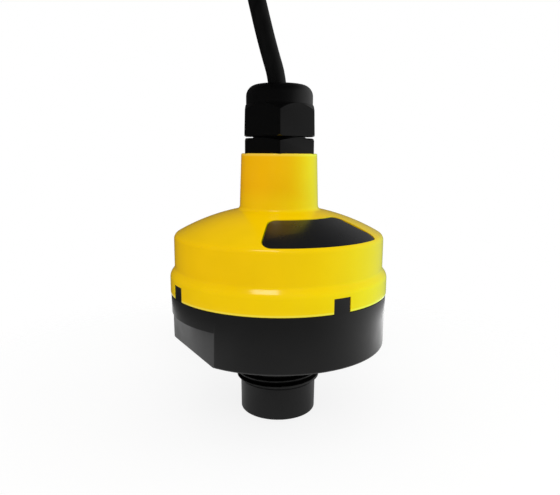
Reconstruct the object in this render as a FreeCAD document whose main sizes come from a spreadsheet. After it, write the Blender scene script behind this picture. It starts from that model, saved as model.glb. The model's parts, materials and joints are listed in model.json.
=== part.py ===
import FreeCAD, Part
import math
import os
import types

import Sketcher

# Ultrasonic level transmitter: a black base with a 1 inch pipe thread, a yellow cover with a neck,
# and a cable gland with its cable. The boards and the transducer are inside.
# Millimetres and degrees. Z is up, the nose stands on z = 0 and the wrench flats face along X.

SIZES = {
    # Nose and thread of the base
    "nose_tip_radius": 14.9,
    "nose_radius": 15.05,
    "nose_height": 13.9,
    "nose_lip_height": 1.9,
    "nose_lip": 0.15,
    "lead_in_height": 3.7,
    "thread_radius": 16.62,
    "relief_radius": 15.1,
    "relief_height": 3.0,
    "spigot_length": 29.4,
    "spigot_wall": 2.45,
    "face_wall": 2.0,
    "nose_edge": 0.4,
    # Base
    "base_height": 19.9,
    "base_floor": 4.0,
    "base_draft_step": 0.35,
    "base_edge": 0.5,
    "rim_inset": 0.2,
    "flat_depth": 5.05,
    "flat_height": 12.7,
    "flat_wall": 3.0,
    "tongue_height": 14.9,
    "groove_drop": 1.4,
    "groove_width": 2.3,
    "groove_depth": 1.6,
    "tab_angle": 9.0,
    "tab_height": 5.4,
    "tab_depth": 2.2,
    # Cover
    "cover_radius": 40.4,
    "cover_wall": 2.6,
    "rim_step": 1.75,
    "rim_height": 6.95,
    "step_height": 2.5,
    "step_round": 0.9,
    "step_fillet": 0.6,
    "cover_rise": 32.9,
    "dome_radius": 79.5,
    "dome_wall": 2.5,
    "shoulder_radius": 1.4,
    "rim_edge": 0.35,
    "neck_radius": 15.2,
    "neck_top_radius": 14.5,
    "neck_top": 52.5,
    "neck_fillet": 1.8,
    "neck_edge": 0.6,
    # Panel on the dome
    "panel_inner": 22.5,
    "panel_outer": 39.3,
    "panel_angle": 73.5,
    "panel_turn": -92.7,
    "panel_depth": 1.0,
    "panel_sink": 0.1,
    "panel_corner": 3.4,
    "panel_edge": 0.25,
    # Clearances
    "joint_gap": 0.2,
    "slide_gap": 0.15,
    "seat_gap": 0.05,
    "thread_gap": 0.06,
    "washer_gap": 0.3,
    "gland_bore_gap": 0.875,
    "washer_bore_gap": 1.475,
    "washer_inset": 0.5,
    "mouth_gap": 3.275,
    "gasket_gap": 0.3,
    "wire_gap": 0.3,
    # Cable gland
    "gland_thread_radius": 10.0,
    "gland_stub": 14.0,
    "gland_hex_wall": 2.77,
    "gland_hex_height": 5.6,
    "gland_hex_chamfer": 0.1,
    "gland_corner_drop": 1.0,
    "gland_lead": 1.0,
    "gland_thread_height": 8.0,
    "gland_wall": 3.7,
    "chamber_floor": 1.0,
    "gland_washer_width": 2.2,
    "gland_washer_height": 1.0,
    "seal_height": 7.8,
    "washer_height": 1.2,
    "nut_gap": 0.7,
    "nut_hex_wall": 2.97,
    "nut_draft": 1.4,
    "nut_hex_height": 11.7,
    "nut_corner_height": 8.9,
    "nut_dome_wall": 2.6,
    "nut_height": 18.95,
    "nut_shoulder": 4.3,
    "nut_throat_step": 0.9,
    "nut_throat_height": 2.0,
    "nut_lip": 0.8,
    "nut_top_flat": 0.3,
    # Cable
    "cable_radius": 3.425,
    "jacket_end": 26.0,
    "coil_x": 42.9,
    "coil_y": 72.2,
    "coil_radius": 34.25,
    "coil_lift": 1.4,
    "coil_height": 32.6,
    "coil_slack": 0.4,
    "tail_radius": 23.0,
    "tail_start": 351.0,
    "tail_angle": 130.0,
    "tie_angle": 165.0,
    "tie_width": 4.8,
    "tie_thickness": 1.1,
    "tie_gap": 0.2,
    "tie_head": 5.2,
    "tie_head_depth": 3.1,
    "tie_head_width": 6.7,
    "lead_radius": 0.75,
    "lead_spread": 1.3,
    # Boards
    "boss_height": 10.6,
    "boss_radius": 3.4,
    "boss_pilot": 1.1,
    "boss_inset": 5.5,
    "boss_circle_hole": 1.45,
    "board_gap": 2.0,
    "board_thickness": 1.6,
    "spacer_height": 14.4,
    "spacer_half_flat": 2.5,
    "stud_radius": 1.0,
    "stud_length": 6.0,
    "power_board_inset": 1.0,
    "screw_head_radius": 2.3,
    "screw_head_height": 1.9,
    # What the boards carry, in the sizes of common parts
    "chip_side": 10.0,
    "chip_height": 1.6,
    "chip_x": -6.0,
    "chip_y": -12.0,
    "core_side": 13.0,
    "core_height": 10.5,
    "core_x": 13.0,
    "core_foot_width": 2.0,
    "core_foot_height": 1.0,
    "can_radius": 4.0,
    "can_height": 11.0,
    "can_x": -2.0,
    "can_y": 14.0,
    "second_can_x": 9.0,
    "second_can_y": 17.5,
    "connector_length": 5.0,
    "connector_width": 12.7,
    "connector_x": -17.0,
    "connector_y": 2.0,
    "regulator_length": 6.6,
    "regulator_width": 6.2,
    "regulator_height": 2.3,
    "regulator_x": 12.0,
    "regulator_y": -12.0,
    "suppressor_radius": 4.5,
    "suppressor_thickness": 3.6,
    "suppressor_rise": 6.0,
    "suppressor_x": -12.0,
    "suppressor_y": -9.8,
    "suppressor_pitch": 5.0,
    "suppressor_leg": 0.4,
    # Terminals and wires
    "terminal_pitch": 5.0,
    "terminal_face": 9.0,
    "terminal_depth": 8.0,
    "terminal_height": 10.0,
    "terminal_entry": 4.2,
    "entry_radius": 1.2,
    "entry_depth": 4.0,
    "well_depth": 3.0,
    "well_set_back": 4.5,
    "clamp_radius": 1.8,
    "clamp_gap": 0.1,
    "clamp_height": 1.6,
    "conductor_radius": 0.65,
    "conductor_spread": 0.85,
    "conductor_reach": 3.0,
    "conductor_drop": 4.0,
    "conductor_bend": 2.0,
    "wire_radius": 0.6,
    "wire_run": 8.0,
    "lead_hole_x": 3.0,
    "lead_hole_y": 2.0,
    "sensor_end_x": -8.0,
    "sensor_end_y": -4.0,
    # Transducer in the nose
    "layer_thickness": 3.0,
    "layer_gap": 0.3,
    "piezo_radius": 10.8,
    "piezo_height": 5.0,
    "backing_height": 4.0,
    "probe_radius": 1.5,
    "probe_length": 7.0,
    # Gasket under the base
    "gasket_width": 6.1,
    "gasket_height": 2.8,
}

doc = FreeCAD.newDocument("level_transmitter")
sheet = doc.addObject("Spreadsheet::Sheet", "Sizes")
for row, (alias, value) in enumerate(SIZES.items(), 1):
    sheet.set(f"A{row}", alias.replace("_", " "))
    sheet.set(f"B{row}", str(value))
    sheet.setAlias(f"B{row}", alias)
doc.recompute()


class Size:
    """A number together with the sheet formula that gives it."""

    def __init__(self, number, formula):
        self.number = number
        self.formula = formula

    def __add__(self, other):
        return joined(self, "+", other, self.number + number_of(other))

    def __radd__(self, other):
        return joined(other, "+", self, number_of(other) + self.number)

    def __sub__(self, other):
        return joined(self, "-", other, self.number - number_of(other))

    def __rsub__(self, other):
        return joined(other, "-", self, number_of(other) - self.number)

    def __mul__(self, other):
        return joined(self, "*", other, self.number * number_of(other))

    def __rmul__(self, other):
        return joined(other, "*", self, number_of(other) * self.number)

    def __truediv__(self, other):
        return joined(self, "/", other, self.number / number_of(other))

    def __neg__(self):
        return Size(-self.number, f"(0 - {self.formula})")


def number_of(value):
    return value.number if isinstance(value, Size) else value


def formula_of(value):
    return value.formula if isinstance(value, Size) else repr(value)


def joined(left, sign, right, number):
    return Size(number, f"({formula_of(left)} {sign} {formula_of(right)})")


def root(value):
    return Size(math.sqrt(value.number), f"sqrt({value.formula})")


def least(first, second):
    return Size(min(first.number, second.number), f"min({first.formula}; {second.formula})")


s = types.SimpleNamespace(**{name: Size(float(sheet.get(name)), f"Sizes.{name}") for name in SIZES})

# Heights that several pieces share
underside = s.spigot_length
floor_top = underside + s.base_floor
joint = underside + s.base_height
rim_bottom = joint + s.joint_gap
dome_top = rim_bottom + s.cover_rise
neck_top = rim_bottom + s.neck_top
washer_seat = neck_top - s.gland_washer_height
hex_top = neck_top + s.gland_hex_height
gland_top = hex_top + s.gland_thread_height
chamber_floor = hex_top + s.chamber_floor
seal_bottom = chamber_floor + s.seat_gap
seal_top = seal_bottom + s.seal_height
washer_bottom = seal_top + s.washer_gap
washer_top = washer_bottom + s.washer_height
nut_bottom = hex_top + s.nut_gap
nut_top = nut_bottom + s.nut_height
board_bottom = floor_top + s.boss_height
board_top = board_bottom + s.board_thickness
power_bottom = board_top + s.spacer_height
power_top = power_bottom + s.board_thickness

# Radii that several pieces share
rim_radius = s.cover_radius + s.rim_step
cover_bore = s.cover_radius - s.cover_wall
tongue_radius = cover_bore - s.slide_gap
base_radius = rim_radius - s.rim_inset
flat_distance = base_radius - s.flat_depth
cavity_radius = flat_distance - s.flat_wall
spigot_bore = s.nose_radius - s.spigot_wall
board_radius = cavity_radius - s.board_gap
boss_circle = board_radius - s.boss_inset
gland_hole = s.gland_thread_radius + s.seat_gap
washer_bore = gland_hole + s.slide_gap
washer_radius = washer_bore + s.gland_washer_width
gland_bore = s.cable_radius + s.gland_bore_gap
chamber_radius = s.gland_thread_radius - s.gland_wall
gland_half_flat = s.gland_thread_radius + s.gland_hex_wall
nut_half_flat = s.gland_thread_radius + s.nut_hex_wall
nut_dome_radius = s.gland_thread_radius + s.nut_dome_wall
nut_mouth = s.cable_radius + s.mouth_gap

subparts = {}


def keep(node, item):
    """Names a finished sub-part; its file takes the same name."""
    item.Label = node
    subparts[node] = item
    return item


def bind(item, path, value):
    """Sets a property, and ties it to the sheet where the value comes from there."""
    if isinstance(value, Size):
        item.setExpression(path, value.formula)
    else:
        setattr(item, path, value)


def new_body(name):
    return doc.addObject("PartDesign::Body", name + "_body")


def origin_part(body, role):
    return [part for part in body.Origin.OriginFeatures if part.Role == role][0]


def new_sketch(body, name, role, height=None, turn=None):
    """An empty sketch on one of the body's own planes, raised along Z or turned about Z."""
    sketch = body.newObject("Sketcher::SketchObject", f"{body.Name}_{name}")
    sketch.AttachmentSupport = [(origin_part(body, role), "")]
    sketch.MapMode = "FlatFace"
    if height is not None:
        sketch.setExpression("AttachmentOffset.Base.z", formula_of(height))
    if turn is not None:
        upright = FreeCAD.Rotation(FreeCAD.Vector(0, 1, 0), turn.number)
        sketch.AttachmentOffset = FreeCAD.Placement(FreeCAD.Vector(), upright)
        sketch.setExpression("AttachmentOffset.Rotation.Angle", turn.formula)
    return sketch


def pin_point(sketch, geometry, place, x, y):
    """Fixes one point of a sketch by its distances from the sketch's origin."""
    for kind, value, axis in (("DistanceX", x, -2), ("DistanceY", y, -1)):
        if isinstance(value, Size):
            index = sketch.addConstraint(Sketcher.Constraint(kind, -1, 1, geometry, place, value.number))
            sketch.setExpression(f"Constraints[{index}]", value.formula)
        elif value == 0:
            sketch.addConstraint(Sketcher.Constraint("PointOnObject", geometry, place, axis))
        else:
            sketch.addConstraint(Sketcher.Constraint(kind, -1, 1, geometry, place, value))


def arc_between(start, end, radius):
    """The shorter arc from start to end; a radius below zero bends clockwise."""
    chord = end - start
    reach = math.sqrt(radius**2 - chord.Length**2 / 4)
    side = FreeCAD.Vector(-chord.y, chord.x, 0).normalize() * math.copysign(reach, radius)
    centre = (start + end) / 2 + side
    first, last = (start, end) if radius > 0 else (end, start)
    angles = [math.atan2((point - centre).y, (point - centre).x) for point in (first, last)]
    circle = Part.Circle(centre, FreeCAD.Vector(0, 0, 1), abs(radius))
    return Part.ArcOfCircle(circle, angles[0], angles[1])


def outline(sketch, corners):
    """A closed outline. Each corner is (x, y), or (x, y, radius) where an arc leads to the next one."""
    points = [FreeCAD.Vector(number_of(c[0]), number_of(c[1]), 0) for c in corners]
    ends = []
    for index, corner in enumerate(corners):
        start, end = points[index], points[(index + 1) % len(points)]
        if len(corner) == 2:
            geometry = sketch.addGeometry(Part.LineSegment(start, end))
            ends.append((geometry, 1, 2))
        else:
            radius = number_of(corner[2])
            geometry = sketch.addGeometry(arc_between(start, end, radius))
            ends.append((geometry, 1, 2) if radius > 0 else (geometry, 2, 1))
    for index, (geometry, _, last) in enumerate(ends):
        following, first, _ = ends[(index + 1) % len(ends)]
        sketch.addConstraint(Sketcher.Constraint("Coincident", geometry, last, following, first))
    for (geometry, first, _), corner in zip(ends, corners):
        pin_point(sketch, geometry, first, corner[0], corner[1])
        if len(corner) == 3:
            size = Size(abs(number_of(corner[2])), f"abs({formula_of(corner[2])})")
            index = sketch.addConstraint(Sketcher.Constraint("Radius", geometry, size.number))
            sketch.setExpression(f"Constraints[{index}]", size.formula)
    return sketch


def ring(sketch, x, y, radius):
    """A circle in a sketch."""
    centre = FreeCAD.Vector(number_of(x), number_of(y), 0)
    geometry = sketch.addGeometry(Part.Circle(centre, FreeCAD.Vector(0, 0, 1), radius.number))
    pin_point(sketch, geometry, 3, x, y)
    index = sketch.addConstraint(Sketcher.Constraint("Radius", geometry, radius.number))
    sketch.setExpression(f"Constraints[{index}]", radius.formula)
    return sketch


def hexagon(sketch, half_flat):
    """A hexagon with two corners on the sketch's X axis."""
    corner = half_flat * (2 / math.sqrt(3))
    middle = corner * 0.5
    outline(sketch, [(corner, 0), (middle, half_flat), (-middle, half_flat),
                     (-corner, 0), (-middle, -half_flat), (middle, -half_flat)])
    return sketch


def revolve(body, sketch, angle=None, cut=False):
    """Turns a section about Z, all the way or by an angle about the sketch's plane."""
    kind = "PartDesign::Groove" if cut else "PartDesign::Revolution"
    feature = body.newObject(kind, sketch.Name + "_turned")
    feature.Profile = sketch
    feature.ReferenceAxis = (sketch, ["V_Axis"])
    if angle is None:
        feature.Angle = 360
    else:
        bind(feature, "Angle", angle)
        feature.Midplane = True
    return feature


def extrude(body, sketch, length, cut=False):
    """Pads a sketch upwards, or cuts it upwards out of the body."""
    kind = "PartDesign::Pocket" if cut else "PartDesign::Pad"
    feature = body.newObject(kind, sketch.Name + "_raised")
    feature.Profile = sketch
    bind(feature, "Length", length)
    feature.Reversed = cut
    return feature


def repeat(body, features, count):
    """Repeats features evenly about Z."""
    pattern = body.newObject("PartDesign::PolarPattern", features[0].Name + "_repeated")
    pattern.Originals = features
    pattern.Axis = (origin_part(body, "Z_Axis"), [""])
    pattern.Angle = 360
    pattern.Occurrences = count
    body.Tip = pattern
    return pattern


def ring_edges(body, radius, height):
    """The circular edges of a body at a radius and a height."""
    doc.recompute()
    names = []
    for index, edge in enumerate(body.Shape.Edges, 1):
        if edge.Curve.TypeId != "Part::GeomCircle":
            continue
        near_radius = abs(edge.Curve.Radius - number_of(radius)) < 0.01
        near_height = abs(edge.Curve.Center.z - number_of(height)) < 0.01
        if near_radius and near_height:
            names.append(f"Edge{index}")
    return names


def upright_edges(body, radii):
    """The vertical straight edges of a body at some distances from Z."""
    doc.recompute()
    names = []
    for index, edge in enumerate(body.Shape.Edges, 1):
        if edge.Curve.TypeId != "Part::GeomLine" or abs(edge.Curve.Direction.z) < 0.999:
            continue
        start = edge.Vertexes[0].Point
        if any(abs(math.hypot(start.x, start.y) - number_of(radius)) < 0.01 for radius in radii):
            names.append(f"Edge{index}")
    return names


def round_edges(body, edges, radius):
    """Rounds edges of the body's last feature."""
    feature = body.newObject("PartDesign::Fillet", f"{body.Name}_round_{len(body.Group)}")
    feature.Base = (body.Tip, edges) if body.Tip != feature else (feature.BaseFeature, edges)
    bind(feature, "Radius", radius)
    body.Tip = feature
    return feature


def place(item, x=0.0, y=0.0, z=0.0):
    for axis, value in (("x", x), ("y", y), ("z", z)):
        item.setExpression(f"Placement.Base.{axis}", formula_of(value))
    return item


def cylinder(name, radius, height, x=0.0, y=0.0, z=0.0):
    item = doc.addObject("Part::Cylinder", name)
    bind(item, "Radius", radius)
    bind(item, "Height", height)
    return place(item, x, y, z)


def block(name, length, width, height, x, y, z):
    """A box centred on x and y, standing on z."""
    item = doc.addObject("Part::Box", name)
    bind(item, "Length", length)
    bind(item, "Width", width)
    bind(item, "Height", height)
    return place(item, x - length / 2, y - width / 2, z)


def minus(name, base, tools):
    """One solid less others."""
    taken = doc.addObject("Part::Compound", name + "_taken")
    taken.Links = tools
    item = doc.addObject("Part::Cut", name)
    item.Base = base
    item.Tool = taken
    return item


def plus(name, items):
    item = doc.addObject("Part::MultiFuse", name)
    item.Shapes = items
    item.Refine = True
    return item


def group(name, items):
    """Separate solids that share one node."""
    item = doc.addObject("Part::Compound", name)
    item.Links = items
    return item


def tube_shape(points, radius, report=False):
    """A round bar along straight runs with a tangent arc at each inner point."""
    points = [FreeCAD.Vector(*point) for point in points]
    runs = [end - start for start, end in zip(points, points[1:])]
    edges = []
    last = points[0]
    for corner, before, after in zip(points[1:-1], runs, runs[1:]):
        half_turn = before.getAngle(after) / 2
        reach = 0.45 * min(before.Length, after.Length)
        arc_radius = reach / math.tan(half_turn)
        if report:
            print(f"  turn {math.degrees(2 * half_turn):5.1f} deg, arc radius {arc_radius:6.1f} mm")
        start = corner - before.normalize() * reach
        end = corner + FreeCAD.Vector(after).normalize() * reach
        inwards = (end + start) / 2 - corner
        middle = corner + inwards.normalize() * (arc_radius / math.cos(half_turn) - arc_radius)
        edges.append(Part.LineSegment(last, start).toShape())
        edges.append(Part.Arc(start, middle, end).toShape())
        last = end
    edges.append(Part.LineSegment(last, points[-1]).toShape())
    path = Part.Wire(edges)
    section = Part.Wire(Part.makeCircle(radius, points[0], points[1] - points[0]))
    solid = Part.Wire(path).makePipeShell([section], True, False)
    expected = math.pi * radius**2 * path.Length
    if abs(solid.Volume - expected) > 0.01 * expected:
        raise ValueError(f"tube volume {solid.Volume:.1f}, its section times its length is {expected:.1f}")
    if report:
        print(f"  length {path.Length:.1f} mm")
    return solid


def tube(name, points, radius, report=False):
    item = doc.addObject("Part::Feature", name)
    item.Shape = tube_shape(points, number_of(radius), report)
    item.Placement = FreeCAD.Placement()
    return item


def dome_height(radius, depth=0.0):
    """Height of the dome, or of a sphere some depth below it, at a distance from the axis."""
    sphere = s.dome_radius - depth
    return dome_top - s.dome_radius + root(sphere * sphere - radius * radius)


def dome_edges(body, depth):
    """The edges of a body that lie on a sphere some depth below the dome."""
    doc.recompute()
    centre = FreeCAD.Vector(0, 0, (dome_top - s.dome_radius).number)
    radius = (s.dome_radius - depth).number
    names = []
    for index, edge in enumerate(body.Shape.Edges, 1):
        if all(abs((point - centre).Length - radius) < 0.01 for point in edge.discretize(4)):
            names.append(f"Edge{index}")
    return names


def make_base_housing():
    """One moulding: nose with its closed face, threaded spigot, cup with flats, tabs and a tongue."""
    body = new_body("base_housing")
    lip_bottom = s.nose_height - s.nose_lip_height
    thread_bottom = s.nose_height + s.lead_in_height
    thread_top = underside - s.relief_height
    foot_radius = base_radius - s.base_draft_step
    tongue_top = joint + s.tongue_height
    groove_top = tongue_top - s.groove_drop
    groove_bottom = groove_top - s.groove_width
    groove_radius = tongue_radius - s.groove_depth
    section = new_sketch(body, "section", "XZ_Plane")
    outline(section, [
        (0, 0), (s.nose_tip_radius - s.nose_edge, 0), (s.nose_tip_radius, s.nose_edge),
        (s.nose_radius, lip_bottom - s.nose_lip), (s.nose_radius + s.nose_lip, lip_bottom),
        (s.nose_radius + s.nose_lip, s.nose_height - s.nose_lip), (s.nose_radius, s.nose_height),
        (s.thread_radius, thread_bottom), (s.thread_radius, thread_top),
        (s.relief_radius, thread_top), (s.relief_radius, underside), (foot_radius - s.base_edge, underside),
        (foot_radius, underside + s.base_edge), (base_radius, joint), (tongue_radius, joint),
        (tongue_radius, groove_bottom), (groove_radius, groove_bottom), (groove_radius, groove_top),
        (tongue_radius, groove_top), (tongue_radius, tongue_top), (cavity_radius, tongue_top),
        (cavity_radius, floor_top), (spigot_bore, floor_top), (spigot_bore, s.face_wall), (0, s.face_wall)])
    revolve(body, section)

    flat = new_sketch(body, "flat", "XY_Plane", underside)
    outline(flat, [(flat_distance, -rim_radius), (rim_radius * 2, -rim_radius),
                   (rim_radius * 2, rim_radius), (flat_distance, rim_radius)])
    repeat(body, [extrude(body, flat, s.flat_height, cut=True)], 2)

    tab = new_sketch(body, "tab", "XZ_Plane")
    tab_back = base_radius - s.tab_depth
    tab_top = joint + s.tab_height
    outline(tab, [(tab_back, joint - s.tab_depth), (base_radius, joint),
                  (base_radius, tab_top), (tab_back, tab_top)])
    repeat(body, [revolve(body, tab, s.tab_angle)], 4)

    diagonal = boss_circle * math.sqrt(0.5)
    boss = new_sketch(body, "boss", "XY_Plane", floor_top - s.base_floor / 2)
    ring(boss, diagonal, diagonal, s.boss_radius)
    repeat(body, [extrude(body, boss, s.boss_height + s.base_floor / 2)], 4)
    pilot = ring(new_sketch(body, "pilot", "XY_Plane", floor_top), diagonal, diagonal, s.boss_pilot)
    repeat(body, [extrude(body, pilot, s.boss_height, cut=True)], 4)
    return keep("base_housing", body)


def make_panel_block(name, gap, depth):
    """A tall block with the panel's rounded outline, standing on a sphere some depth below the dome."""
    body = new_body(name)
    section = new_sketch(body, "section", "XZ_Plane", turn=s.panel_turn)
    inner = s.panel_inner - gap
    outer = s.panel_outer + gap
    outline(section, [
        (inner, dome_height(inner, depth), -(s.dome_radius - depth)), (outer, dome_height(outer, depth)),
        (outer, dome_top), (inner, dome_top)])
    gap_angle = gap * 2 / inner * math.degrees(1)
    revolve(body, section, s.panel_angle + gap_angle)
    round_edges(body, upright_edges(body, [inner, outer]), s.panel_corner + gap)
    return body


def make_top_cover():
    """The yellow cover: stepped rim with four notches, dome with the panel's recess, and the neck."""
    body = new_body("top_cover")
    section = new_sketch(body, "section", "XZ_Plane")
    step_bottom = rim_bottom + s.rim_height
    step_top = step_bottom + s.step_height
    inner_dome = s.dome_radius - s.dome_wall
    outline(section, [
        (cover_bore, rim_bottom), (rim_radius - s.rim_edge, rim_bottom),
        (rim_radius, rim_bottom + s.rim_edge), (rim_radius, step_bottom), (s.cover_radius, step_top),
        (s.cover_radius, dome_height(s.cover_radius), s.dome_radius),
        (s.neck_radius, dome_height(s.neck_radius)), (s.neck_top_radius, neck_top - s.neck_edge),
        (s.neck_top_radius - s.neck_edge, neck_top), (washer_radius + s.slide_gap, neck_top),
        (washer_radius + s.slide_gap, washer_seat), (gland_hole, washer_seat),
        (gland_hole, dome_height(gland_hole, s.dome_wall), -inner_dome),
        (cover_bore, dome_height(cover_bore, s.dome_wall))])
    revolve(body, section)
    round_edges(body, ring_edges(body, s.cover_radius, dome_height(s.cover_radius)), s.shoulder_radius)
    round_edges(body, ring_edges(body, s.neck_radius, dome_height(s.neck_radius)), s.neck_fillet)
    round_edges(body, ring_edges(body, rim_radius, step_bottom), s.step_round)
    round_edges(body, ring_edges(body, s.cover_radius, step_top), s.step_fillet)

    notch = new_sketch(body, "notch", "XZ_Plane")
    notch_back = base_radius - s.tab_depth - s.slide_gap
    notch_top = joint + s.tab_height + s.slide_gap
    outline(notch, [(notch_back, joint), (rim_radius * 2, joint),
                    (rim_radius * 2, notch_top), (notch_back, notch_top)])
    side_gap = s.slide_gap * 2 / rim_radius * math.degrees(1)
    repeat(body, [revolve(body, notch, s.tab_angle + side_gap, cut=True)], 4)

    recess = body.newObject("PartDesign::Boolean", "top_cover_recess")
    recess.Type = "Cut"
    recess.addObject(make_panel_block("panel_recess", s.slide_gap, s.panel_depth + s.panel_sink))
    body.Tip = recess
    return keep("top_cover", body)


def make_front_panel():
    """The plain black panel that lies in the dome's recess, with its upper edge rounded."""
    body = make_panel_block("front_panel", s.slide_gap * 0, s.panel_depth + s.panel_sink - s.seat_gap)
    top = new_sketch(body, "top", "XZ_Plane")
    inner = s.panel_inner - s.panel_corner
    outer = s.panel_outer + s.panel_depth
    above = dome_top + s.panel_depth
    outline(top, [(inner, dome_height(inner, s.panel_sink), -(s.dome_radius - s.panel_sink)),
                  (outer, dome_height(outer, s.panel_sink)), (outer, above), (inner, above)])
    revolve(body, top, cut=True)
    round_edges(body, dome_edges(body, s.panel_sink), s.panel_edge)
    return keep("front_panel", body)


def make_washer(node, bore, radius, bottom, height):
    """A plain flat ring."""
    body = new_body(node)
    section = new_sketch(body, "section", "XZ_Plane")
    outline(section, [(bore, bottom), (radius, bottom), (radius, bottom + height), (bore, bottom + height)])
    revolve(body, section)
    return keep(node, body)


def make_gland_body():
    """Gland body: thread in the neck, hexagon, upper thread for the nut and the seal's chamber."""
    body = new_body("gland_body")
    stub_bottom = neck_top - s.gland_stub
    lead = s.gland_thread_radius - s.gland_lead
    section = new_sketch(body, "section", "XZ_Plane")
    outline(section, [
        (gland_bore, stub_bottom), (lead, stub_bottom), (s.gland_thread_radius, stub_bottom + s.gland_lead),
        (s.gland_thread_radius, gland_top - s.gland_lead), (lead, gland_top), (chamber_radius, gland_top),
        (chamber_radius, chamber_floor), (gland_bore, chamber_floor)])
    revolve(body, section)
    sides = hexagon(new_sketch(body, "hex", "XY_Plane", neck_top), gland_half_flat)
    extrude(body, sides, s.gland_hex_height)
    bore = ring(new_sketch(body, "bore", "XY_Plane", neck_top), 0, 0, gland_bore)
    extrude(body, bore, s.gland_hex_height, cut=True)
    chamfer_start = gland_half_flat - s.gland_hex_chamfer
    cut_hex_corners(body, chamfer_start, hex_top, hex_top - s.gland_corner_drop, gland_half_flat)
    return keep("gland_body", body)


def cut_hex_corners(body, top_radius, top, corner_height, half_flat):
    """Turns the corners of a hexagon down to a cone that starts at its top face."""
    corner = half_flat * (2 / math.sqrt(3))
    section = new_sketch(body, "corners", "XZ_Plane")
    outline(section, [(top_radius, top), (corner, corner_height), (corner * 2, corner_height),
                      (corner * 2, top * 2), (top_radius, top * 2)])
    revolve(body, section, cut=True)


def make_gland_nut():
    """Domed nut: tapered hexagon with chamfered corners, round dome with a rounded mouth."""
    body = new_body("gland_nut")
    thread = s.gland_thread_radius + s.thread_gap
    shoulder = washer_top + s.washer_gap
    sides = hexagon(new_sketch(body, "hex", "XY_Plane", nut_bottom), nut_half_flat)
    skirt = extrude(body, sides, s.nut_hex_height)
    bind(skirt, "TaperAngle", -s.nut_draft)
    hex_end = nut_bottom + s.nut_hex_height
    cut_hex_corners(body, nut_dome_radius, hex_end, nut_bottom + s.nut_corner_height, nut_half_flat)
    dome = ring(new_sketch(body, "dome", "XY_Plane", hex_end), 0, 0, nut_dome_radius)
    extrude(body, dome, nut_top - hex_end)
    widest = nut_dome_radius - nut_mouth - s.nut_lip - s.nut_top_flat
    round_edges(body, ring_edges(body, nut_dome_radius, nut_top), least(s.nut_shoulder, widest))
    inside = new_sketch(body, "inside", "XZ_Plane")
    outline(inside, [
        (0, nut_bottom), (thread, nut_bottom), (thread, shoulder), (nut_mouth + s.nut_throat_step, shoulder),
        (nut_mouth, shoulder + s.nut_throat_height), (nut_mouth, nut_top - s.nut_lip),
        (nut_mouth + s.nut_lip, nut_top), (0, nut_top)])
    revolve(body, inside, cut=True)
    return keep("gland_nut", body)


# Points that the cable's centre line turns at, from inside the gland to the coil behind the object
CABLE_ROUTE = [
    (0.0, 0.0, 109.2), (0.0, 0.0, 127.0), (-3.3, 3.2, 141.2), (-4.6, 10.9, 162.0), (0.4, 27.7, 181.5),
    (12.1, 49.8, 192.5), (26.9, 72.4, 191.5), (41.9, 92.0, 179.5), (55.1, 104.5, 158.5),
    (65.4, 110.6, 133.5), (73.1, 113.0, 109.0), (77.5, 113.2, 87.5), (77.5, 112.8, 68.5),
    (71.4, 111.7, 50.4), (57.5, 109.4, 36.6), (37.3, 106.0, 30.6)]


def make_cable():
    """The free cable: a tube up from the gland and down behind, its tied coil, and the bare leads."""
    print("cable route")
    keep("signal_cable", tube("signal_cable_tube", CABLE_ROUTE, s.cable_radius, report=True))
    start = CABLE_ROUTE[0][2]
    jacket_end = neck_top - s.jacket_end
    keep("cable_entry", cylinder("cable_entry_stub", s.cable_radius, start - jacket_end, z=jacket_end))

    half = s.cable_radius + s.coil_slack
    body = new_body("cable_coil")
    section = new_sketch(body, "section", "XZ_Plane")
    coil_top = s.coil_lift + s.coil_height
    outline(section, [(s.coil_radius - half, s.coil_lift), (s.coil_radius + half, s.coil_lift),
                      (s.coil_radius + half, coil_top), (s.coil_radius - half, coil_top)])
    revolve(body, section)
    tail_middle = s.tail_start + s.tail_angle / 2
    tail = new_sketch(body, "tail", "XZ_Plane", turn=tail_middle)
    tail_top = s.coil_lift + s.cable_radius * 2
    outline(tail, [(s.tail_radius - half, s.coil_lift), (s.coil_radius, s.coil_lift),
                   (s.coil_radius, tail_top), (s.tail_radius - half, tail_top)])
    revolve(body, tail, s.tail_angle)
    keep("cable_coil", place(body, s.coil_x, s.coil_y, 0.0))

    leads = []
    spread = s.lead_spread.number
    for index, (side, rise, inwards) in enumerate(LEAD_ENDS):
        radius = s.tail_radius.number + side * spread
        start = tail_point(0, radius, rise * spread)
        bend = tail_point(LEAD_BEND, radius / math.cos(math.radians(LEAD_BEND)), rise * spread)
        end = tail_point(LEAD_REACH, radius - inwards, rise * spread * LEAD_DROP)
        leads.append(tube(f"lead_{index}", [start, bend, end], s.lead_radius))
    keep("cable_leads", group("cable_leads_group", leads))


# The stripped leads: which side and height each has in the cable, and how far inwards its end bends
LEAD_ENDS = ((-1, -1, 7.0), (-1, 1, 12.0), (1, -1, 2.0), (1, 1, 4.5))
LEAD_BEND = 26
LEAD_REACH = 72
LEAD_DROP = 0.6


def tail_point(angle, radius, rise):
    """A point past the cable's cut end, by its angle and radius about the coil's axis."""
    turn = math.radians((s.tail_start + s.tail_angle).number + angle)
    x = s.coil_x.number + radius * math.cos(turn)
    y = s.coil_y.number + radius * math.sin(turn)
    return FreeCAD.Vector(x, y, s.coil_lift.number + s.cable_radius.number + rise)


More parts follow.
